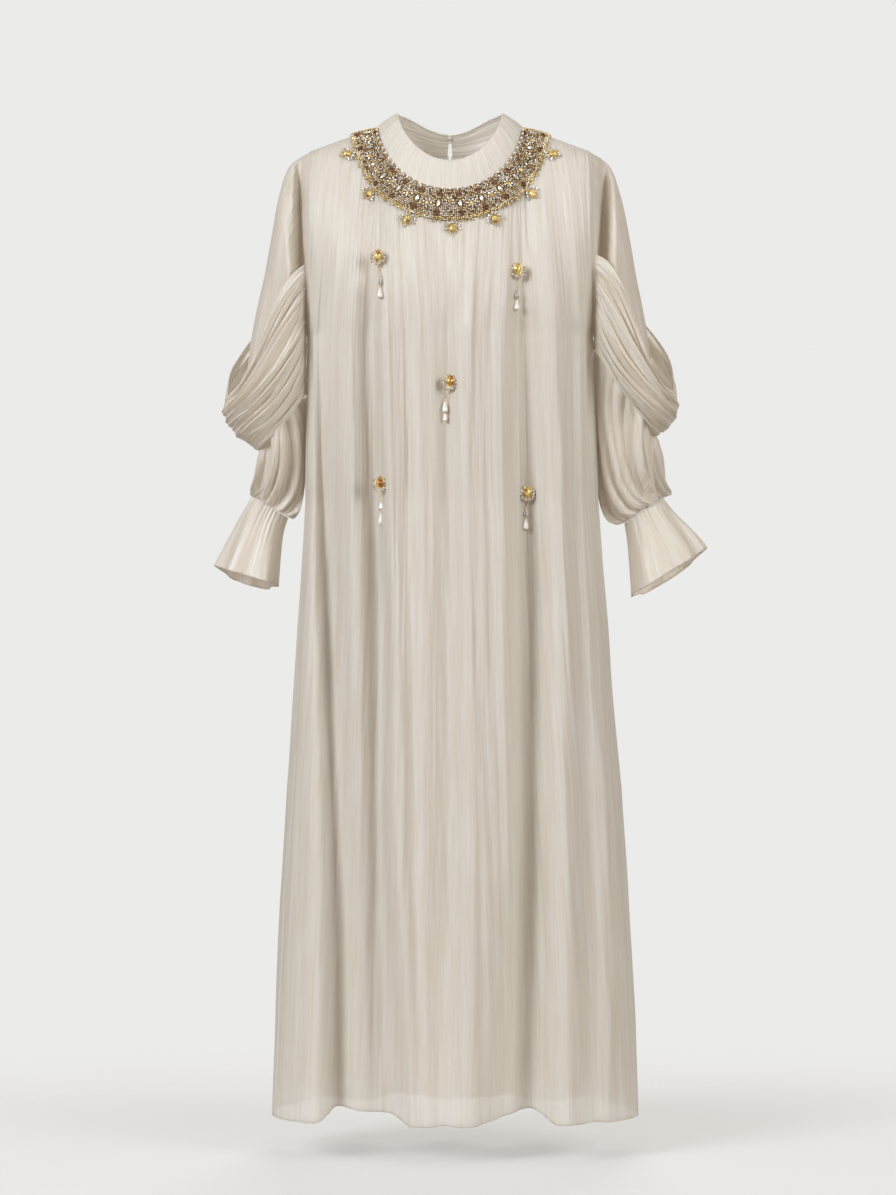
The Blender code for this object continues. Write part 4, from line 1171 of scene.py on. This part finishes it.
def over_cloth(turn, distance):
    """Places at this distance from the neckline, the way square to the cloth and the way on."""
    turn, distance = np.broadcast_arrays(np.atleast_1d(turn), distance)
    at = np.interp(turn, walk_turns, np.arange(len(walk_turns)))
    row = np.minimum(at.astype(int), len(walk_turns) - 2)
    column = np.minimum(distance.astype(int), WALK_LENGTH - 1)
    s, t = (at - row)[..., None, None], (distance - column)[..., None, None]
    near = walked[row, column] * (1 - s) + walked[row + 1, column] * s
    far = walked[row, column + 1] * (1 - s) + walked[row + 1, column + 1] * s
    found = near * (1 - t) + far * t
    return found[..., 0, :], unit(found[..., 1, :]), unit(found[..., 2, :])


def beads_along(share, inset, spacing, first=0.0):
    """Turns and distances of beads at even spacing along one row of the band."""
    places = over_cloth(walk_turns, band_width(walk_turns) * share + inset)[0]
    run = np.concatenate([[0.0], np.cumsum(np.linalg.norm(np.diff(places, axis=0), axis=1))])
    turn = np.interp(np.arange(first, run[-1], spacing), run, walk_turns)
    return turn, band_width(turn) * share + inset


def seated(points):
    """The nearest places on the front, and the directions square to it there."""
    found = [front_form.find_nearest(point)[:2] for point in np.atleast_2d(points)]
    return np.array([spot for spot, _ in found]), np.array([square for _, square in found])


def ring_round(place, square, down, reach, count, first=0.0, turn=2 * math.pi):
    """Places in a ring or an arc round a stone, with the ways that lead out from it."""
    turns = first + turn * np.arange(count) / count
    side = np.cross(down, square)
    ways = np.cos(turns)[:, None] * down + np.sin(turns)[:, None] * side
    places, squares_there = seated(place + ways * np.reshape(reach, (-1, 1)))
    return places, squares_there, ways


print("the band's outer edge is", round(len(beads_along(1, 0, 1.0)[0])), "mm long")

# %% [markdown]
# ### Beaded band
#
# Rows of seed beads follow the neckline. Pearls sit along the inner edge, and two uneven
# rows of larger gilt beads bind the outer one, with a few sewn loose outside it. Down the
# middle run two kinds of flower in turn: a topaz in a ring of cut crystals, and a long
# clear crystal in a ring of gilt beads. Garnets fill the space above and below that.

# %% The net that carries the band. Its dark bronze is painted shade in the gaps between the beads
SHADE_NET_LIFT, SHADE_NET_COLUMNS = 2.0, 16
SHADE_NET_START, SHADE_NET_MARGIN = 0.4, 1.0
random = np.random.default_rng(seed=7)

shade_net_turns = walk_turns[:, None]
shade_net_distances = SHADE_NET_START + (band_width(shade_net_turns) - SHADE_NET_MARGIN) * np.linspace(0, 1, SHADE_NET_COLUMNS)
shade_net_places, shade_net_squares, _ = over_cloth(shade_net_turns, shade_net_distances)
shade_net_points = (shade_net_places + shade_net_squares * SHADE_NET_LIFT).swapaxes(0, 1)
shade_net = sheet_object("neck_bead_net", shade_net_points, finishes["shade_net"], 1)
dress(shade_net, "neck_beadwork",
      area=area_of(shade_net_points))

# %% Flowers along the middle. taken keeps the places and reaches where no seed bead goes
FLOWER_SPACING = 15.5
GARNETS_AT = 14.5
NAVETTE_END = 5

flowers = Cluster()
flower_turns, flower_distances = beads_along(0.5, 0.0, FLOWER_SPACING, first=8.0)
taken = []
for index, (place, square, down) in enumerate(zip(*over_cloth(flower_turns, flower_distances))):
    if index % 2:
        place = place + down * random.uniform(-4, 4)
        flowers.set_stone(GEM, "topaz", place, square, down, (2.7, 3.4, 2.2), rim=2.0, lift=3.6)
        petals = ring_round(place, square, down, reach=5.4, count=7)
        flowers.add(CUT, "crystal", *petals, (1.9, 1.9, 1.5), lift=3.5)
        taken.append((place, 7.2))
        continue
    flowers.add(NAVETTE, "crystal", place, square, down, (3.2, 6.4, 2.4), lift=3.8)
    tips, tip_squares, ways = ring_round(place, square, down, reach=5.6, count=11)
    tips = tips + down * ((tips - place) @ down)[:, None] * 0.5
    flowers.add(BEAD, "rope", tips, tip_squares, ways, 1.2, lift=3.2)
    taken.extend([(place, 5.6), (place + down * NAVETTE_END, 4.4), (place - down * NAVETTE_END, 4.4)])
    for reach in (-GARNETS_AT, GARNETS_AT):
        middle = place + down * reach
        garnets = ring_round(middle, square, down, reach=3.0, count=3)
        flowers.add(CUT, "garnet", *garnets, (1.8, 1.8, 1.5), lift=3.4)
        taken.append((middle, 4.6))
print(len(flower_turns), "flowers along the band")

# %% Seed beads in every place that the flowers leave free
SEED_RADIUS, SEED_HALF_LENGTH, SEED_SPACING = 1.32, 0.95, 2.7
SEED_ROWS, SEED_ROW, SEED_FIRST_ROW, SEED_MARGIN = 20, 2.5, 3.5, 5.2
SEED_KINDS = {"gold": 0.38, "champagne": 0.32, "bronze": 0.18, "crystal": 0.12}

band = Cluster()
seeds = []
for row in range(SEED_ROWS):
    shift = SEED_SPACING * (row % 2) / 2
    turn, distance = beads_along(0.0, SEED_FIRST_ROW + SEED_ROW * row, SEED_SPACING, first=shift)
    inside = distance < band_width(turn) - SEED_MARGIN
    seeds.append(np.array(over_cloth(turn[inside], distance[inside])))
places, out, down = np.concatenate(seeds, axis=1)
free = np.ones(len(places), bool)
for middle, reach in taken:
    free &= np.linalg.norm(places - middle, axis=1) > reach
places, out, down = places[free], out[free], down[free]
places = places + random.uniform(-0.14, 0.14, places.shape) + out * (SHADE_NET_LIFT + 0.7)
down = down + random.uniform(-0.9, 0.9, places.shape)
kinds = random.choice(list(SEED_KINDS), len(places), p=list(SEED_KINDS.values()))
for kind in SEED_KINDS:
    chosen = kinds == kind
    shape = CUT if kind == "crystal" else SEED
    band.add(shape, kind, places[chosen], out[chosen], down[chosen],
             (SEED_RADIUS, SEED_RADIUS, SEED_HALF_LENGTH))
print(len(places), "seed beads and small crystals fill the band")

# %% Gilt beads round the outer edge and the two ends, and pearls along the inner edge
ROPE_RADIUS, ROPE_SPACING, ROPE_LIFT = 1.35, 2.75, 3.0
ROPE_ROWS = ((-1.4, 0.0), (-3.9, ROPE_SPACING / 2))
PALE_SHARE = 0.35
LOOSE_BEADS = 130
INNER_EDGE = 1.4
PEARL_EVERY = 4

for inset, first in ROPE_ROWS:
    place, square, down = over_cloth(*beads_along(1.0, inset, ROPE_SPACING, first))
    place = place + down * random.uniform(-0.7, 0.7, (len(place), 1))
    sizes = ROPE_RADIUS * random.uniform(0.75, 1.2, (len(place), 1))
    pale = random.uniform(0, 1, len(place)) < PALE_SHARE
    for chosen, kind in ((pale, "champagne"), (~pale, "rope")):
        band.add(BEAD, kind, place[chosen], square[chosen], down[chosen], sizes[chosen], ROPE_LIFT)
loose = random.uniform(-BAND_END, BAND_END, LOOSE_BEADS)
loose_places = over_cloth(loose, band_width(loose) + random.uniform(0.4, 3.0, len(loose)))
band.add(BEAD, "rope", *loose_places, 1.05, lift=2.3)
for end in (-BAND_END, BAND_END):
    end_places = over_cloth(end, np.arange(INNER_EDGE, band_width(end) - 3, ROPE_SPACING))
    band.add(BEAD, "rope", *end_places, ROPE_RADIUS, ROPE_LIFT)
edge_places = np.array(over_cloth(*beads_along(0.0, INNER_EDGE, SEED_SPACING)))
pearls = np.arange(edge_places.shape[1]) % PEARL_EVERY == PEARL_EVERY // 2
band.add(PEARL, "pearl", *edge_places[:, pearls], 1.75, lift=3.4)
band.add(SEED, "gold", *edge_places[:, ~pearls], (1.0, 1.0, SEED_HALF_LENGTH), lift=2.8)
dress(band.join("neck_seed_beads"), "neck_beadwork")
dress(flowers.join("neck_flowers"), "neck_beadwork")

# %% [markdown]
# ### Pendants
#
# Seven cut stones hang from the band's outer edge. Each sits in a gilt setting inside a
# ring of gilt beads, with crystals between it and the band and a smaller one at its tip.

# %% Pendants
PENDANT_TURNS = (-71, -46, -21, 1, 22, 46, 71)
PENDANT_REACH = 11.5

for number, degrees in enumerate(PENDANT_TURNS, 1):
    turn = math.radians(degrees)
    place, square, down = (part[0] for part in over_cloth(turn, band_width(turn) + PENDANT_REACH))
    pendant = Cluster()
    pendant.set_stone(GEM, "topaz", place, square, down, (3.8, 5.2, 3.0), rim=2.2, lift=3.6)
    beads, bead_squares, ways = ring_round(place, square, down, reach=6.6, count=17)
    beads = beads + down * ((beads - place) @ down)[:, None] * 0.2
    pendant.add(BEAD, "rope", beads, bead_squares, ways, 1.15, lift=2.9)
    crystals = ring_round(place, square, down, reach=10.0, count=7, first=math.pi - 1.65, turn=3.85)
    pendant.add(CUT, "crystal", *crystals, (2.3, 2.3, 1.6), lift=3.0)
    tip, tip_square = seated(place + down * 10.4)
    pendant.add(CUT, "crystal", tip, tip_square, down, (1.7, 1.7, 1.4), lift=2.9)
    dress(pendant.join(f"pendant_{number}"), f"neck_pendant_{number}")

# %% [markdown]
# ### Jewels on the front
#
# Five larger stones are sewn to the front. Small crystals fan out under each, on a stiff
# mount that bridges the folds and faces forwards. A short string of gilt beads leads to
# a drop of crystal and pearl that hangs free, strung from the top down.

# %% Jewels on the front
Jewel = namedtuple("Jewel", "stone strung x z drop_x drop_z drop_length")
CHEST_JEWELS = [
    Jewel("topaz", "crystal", -101, -183, -98, -227, 34),
    Jewel("topaz", "crystal", 95, -201, 94, -244, 30),
    Jewel("amber", "pearls", 0, -359, -7, -400, 32),
    Jewel("amber", "crystal", -98, -501, -97, -542, 38),
    Jewel("topaz", "crystal", 109, -513, 107, -550, 34),
]
STRUNG = {
    "crystal": [
        (BEAD, "rope", 1.4, 1.2), (CUT_DROP, "crystal", 3.2, 6.0), (BEAD, "rope", 1.3, 0.8),
        (DROP, "pearl", 4.1, 7.5), (BEAD, "gilt", 0.8, 0.5),
    ],
    "pearls": [
        (BEAD, "rope", 1.4, 1.2), (DROP, "pearl", 3.9, 8.0), (BEAD, "rope", 1.2, 0.7),
        (DROP, "pearl", 3.4, 5.4), (BEAD, "gilt", 0.8, 0.5),
    ],
}
DOWNWARDS, FORWARDS = np.array([0.0, 0.0, -1.0]), np.array([0.0, -1.0, 0.0])
FAN_REACHES = [8.4, 9.6, 10.4, 10.8, 10.8, 10.4, 9.6, 8.4]
CROWN_REACHES = [7.8, 8.8, 9.2, 8.8, 7.8]
FAN_FOOT, LINK_SPACING = 13.2, 2.3
MOUNT_LIFT, DROP_LIFT = 2.4, 4.6
PLAIN_DROP_LENGTH = 32


def in_front(x, z):
    """Where a line from the front meets the front panel."""
    return np.array(front_form.ray_cast(Vector((x, -400, z)), Vector((0, 1, 0)))[0])


def arc(place, reaches, first, turn):
    """Places in an arc round a stone, in the upright plane of its mount, and the ways there."""
    turns = first + turn * np.arange(len(reaches)) / (len(reaches) - 1)
    ways = stacked(np.sin(turns), 0.0, -np.cos(turns))
    return place + ways * np.reshape(reaches, (-1, 1)), FORWARDS, ways


for number, jewel in enumerate(CHEST_JEWELS, 1):
    nearest = min(in_front(jewel.x + x, jewel.z + z)[1] for x in (-8, 0, 8) for z in (-9, 0, 7))
    place = np.array([jewel.x, nearest - MOUNT_LIFT, jewel.z])
    ornament = Cluster()
    ornament.set_stone(GEM, jewel.stone, place, FORWARDS, DOWNWARDS, (4.8, 7.2, 3.4), rim=2.6)
    fan = arc(place, FAN_REACHES, first=-1.75, turn=3.5)
    ornament.set_stone(CUT, "crystal", *fan, (2.3, 2.3, 1.7), rim=1.4)
    ornament.add(BEAD, "rope", *arc(place, CROWN_REACHES, first=2.3, turn=1.7), 1.2)
    dress(ornament.join(f"chest_stone_{number}"), f"chest_ornament_{number}")

    top = np.array([jewel.drop_x, jewel.drop_z + jewel.drop_length / 2])
    start = np.array([jewel.x, jewel.z - FAN_FOOT])
    drop = Cluster()
    links = max(2, round(np.linalg.norm(top - start) / LINK_SPACING))
    for share in np.linspace(0, 1, links, endpoint=False):
        spot = in_front(*(start + (top - start) * share))
        drop.add(BEAD, "gilt", spot, FORWARDS, DOWNWARDS, 1.0, lift=3.2)
    scale = jewel.drop_length / PLAIN_DROP_LENGTH
    fall = 0.0
    for shape, kind, wide, long in STRUNG[jewel.strung]:
        half = long * scale
        spot = in_front(top[0], top[1] - fall - half)
        drop.add(shape, kind, spot + FORWARDS * DROP_LIFT, -DOWNWARDS, FORWARDS, (wide, wide, half))
        fall += 2 * half
    dress(drop.join(f"hanging_drop_{number}"), f"chest_drop_{number}")

# %% [markdown]
# ### Button and loop
#
# The collar closes at the nape with a ball button covered in the chiffon and a corded
# loop. Both are small sheets of cloth in form: one grid goes round the ball, and another
# goes round the cord.

# %% Button and loop
BUTTON_MIDDLE = np.array([0.0, 63.6, 2.0])
BUTTON_RADIUS = 4.2
LOOP_MIDDLE = BUTTON_MIDDLE + np.array([0, 3.8, -1.0])
LOOP_RADIUS, LOOP_CORD = 4.6, 0.8
BUTTON_TUCK = 0.035

around = ring_turns(28)[None, :]
down_ball = np.linspace(0.02, math.pi - 0.02, 22)[:, None]
tucked = BUTTON_RADIUS * (1 - BUTTON_TUCK * abs(np.sin(7 * around)) * np.sin(down_ball) ** 0.5)
button_points = BUTTON_MIDDLE + stacked(
    tucked * np.sin(down_ball) * np.cos(around),
    tucked * np.cos(down_ball),
    tucked * np.sin(down_ball) * np.sin(around),
)
button = sheet_object("covered_button", button_points, satin_chiffon, 1, closed=True)
dress(button, "back_button")

round_loop = np.linspace(0, 2 * math.pi, 49)[:, None]
cord = ring_turns(10)[None, :] + round_loop * 3
reach = LOOP_RADIUS + LOOP_CORD * np.cos(cord)
loop_points = LOOP_MIDDLE + stacked(
    reach * np.cos(round_loop), LOOP_CORD * np.sin(cord), reach * np.sin(round_loop),
)
loop = sheet_object("corded_loop", loop_points, satin_chiffon, 1, closed=True)
dress(loop, "button_loop")

# %% [markdown]
# ## Floor, light and camera
#
# A plain pale floor takes the soft shadow of the hem. Broad lights stand for a studio:
# a large one at the upper left models the folds, a weaker one at the right keeps the
# shadows open, and a small one overhead softens the shadow under the hem. One behind
# shines through the thin cloth. It is kept out of reflections, where it would glint.
# The camera stands 5.5 m away, level with the middle of the garment.

# %% Stage. The floor fades out between two distances, in metres, to meet the backdrop
FLOOR_HEIGHT = -1451.0
FLOOR_RADIUS = 3200.0
FADE_FROM, FADE_TO, FLOOR_ALPHA = 0.3, 1.5, 0.5
PALE = "#EDEDEC"

floor_paint = bpy.data.materials.new("matt pale studio paint")
floor_paint.use_nodes = True
tree = floor_paint.node_tree
face = tree.nodes["Principled BSDF"]
face.inputs["Roughness"].default_value = 0.9
face.inputs["Base Color"].default_value = linear(PALE)
place = add_node(tree, "ShaderNodeTexCoord").outputs["Object"]
ring = add_node(tree, "ShaderNodeVectorMath", {0: place}, operation="LENGTH").outputs["Value"]
edge = add_node(tree, "ShaderNodeMapRange", {0: ring, 1: FADE_FROM, 2: FADE_TO, 3: FLOOR_ALPHA, 4: 0.0},
                interpolation_type="SMOOTHERSTEP")
tree.links.new(edge.outputs[0], face.inputs["Alpha"])

disc = bpy.data.meshes.new("studio_floor")
form = bmesh.new()
bmesh.ops.create_circle(form, cap_ends=True, segments=96, radius=FLOOR_RADIUS * MM)
form.to_mesh(disc)
form.free()
disc.materials.append(floor_paint)
floor = bpy.data.objects.new("studio_floor", disc)
floor.location.z = FLOOR_HEIGHT * MM
bpy.context.collection.objects.link(floor)

# %% Lights, with places and sizes in metres
Lamp = namedtuple("Lamp", "name place size watts colour")
LAMPS = [
    Lamp("window_left", (-3.6, -3.8, 1.7), 3.0, 236, "#F9FCFF"),
    Lamp("fill_right", (3.7, -3.1, 0.9), 3.0, 120, "#FCFCFC"),
    Lamp("overhead", (0, -1.4, 2.6), 1.6, 10, "#FFFFFF"),
    Lamp("behind", (0.6, 4.6, 1.6), 3.2, 150, "#FFFBF4"),
]
MIDDLE = Vector((0, 0, -0.6))

for lamp in LAMPS:
    light = bpy.data.lights.new(lamp.name, "AREA")
    light.shape = "DISK"
    light.size = lamp.size
    light.energy = lamp.watts
    light.color = linear(lamp.colour)[:3]
    stand = bpy.data.objects.new(lamp.name, light)
    stand.location = lamp.place
    stand.visible_glossy = lamp.name != "behind"
    stand.rotation_euler = (MIDDLE - stand.location).to_track_quat("-Z", "Y").to_euler()
    bpy.context.collection.objects.link(stand)
print(len(LAMPS), "lamps,", sum(lamp.watts for lamp in LAMPS), "watts in all")

# %% Light from all round: dim and warm on the cloth, brighter in reflections, pale behind it
DIFFUSE_LIGHT, REFLECTED_LIGHT, BACKDROP_LIGHT = 0.17, 0.5, 0.98
DIFFUSE_TINT, REFLECTED_TINT = "#FFE6C6", "#FFF6EA"

world = bpy.data.worlds.new("pale_studio")
world.use_nodes = True
sky = world.node_tree
rays = add_node(sky, "ShaderNodeLightPath")
seen, mirrored = rays.outputs["Is Camera Ray"], rays.outputs["Is Glossy Ray"]
ambient = add_node(sky, "ShaderNodeMapRange", {
    0: mirrored, 3: DIFFUSE_LIGHT, 4: REFLECTED_LIGHT,
}).outputs[0]
strength = add_node(sky, "ShaderNodeMapRange", {0: seen, 3: ambient, 4: BACKDROP_LIGHT})
warm = add_node(sky, "ShaderNodeMix", {
    0: mirrored, 6: linear(DIFFUSE_TINT), 7: linear(REFLECTED_TINT),
}, data_type="RGBA").outputs[2]
tint = add_node(sky, "ShaderNodeMix", {0: seen, 6: warm, 7: linear(PALE)}, data_type="RGBA")
sky.links.new(tint.outputs[2], sky.nodes["Background"].inputs["Color"])
sky.links.new(strength.outputs[0], sky.nodes["Background"].inputs["Strength"])
bpy.context.scene.world = world
bpy.context.scene.view_settings.view_transform = "Standard"

# %% Camera
CAMERA_PLACE = (-2.9, -5500.0, -661.4)
FRAME_HEIGHT = 1708.85

lens = bpy.data.cameras.new("camera")
lens.sensor_width = 36.0
lens.lens = lens.sensor_width * -CAMERA_PLACE[1] / FRAME_HEIGHT
lens.clip_end = 50
camera = bpy.data.objects.new("camera", lens)
camera.location = Vector(CAMERA_PLACE) * MM
camera.rotation_euler = (math.pi / 2, 0, 0)
bpy.context.collection.objects.link(camera)
bpy.context.scene.camera = camera
print("lens", round(lens.lens, 2), "mm")
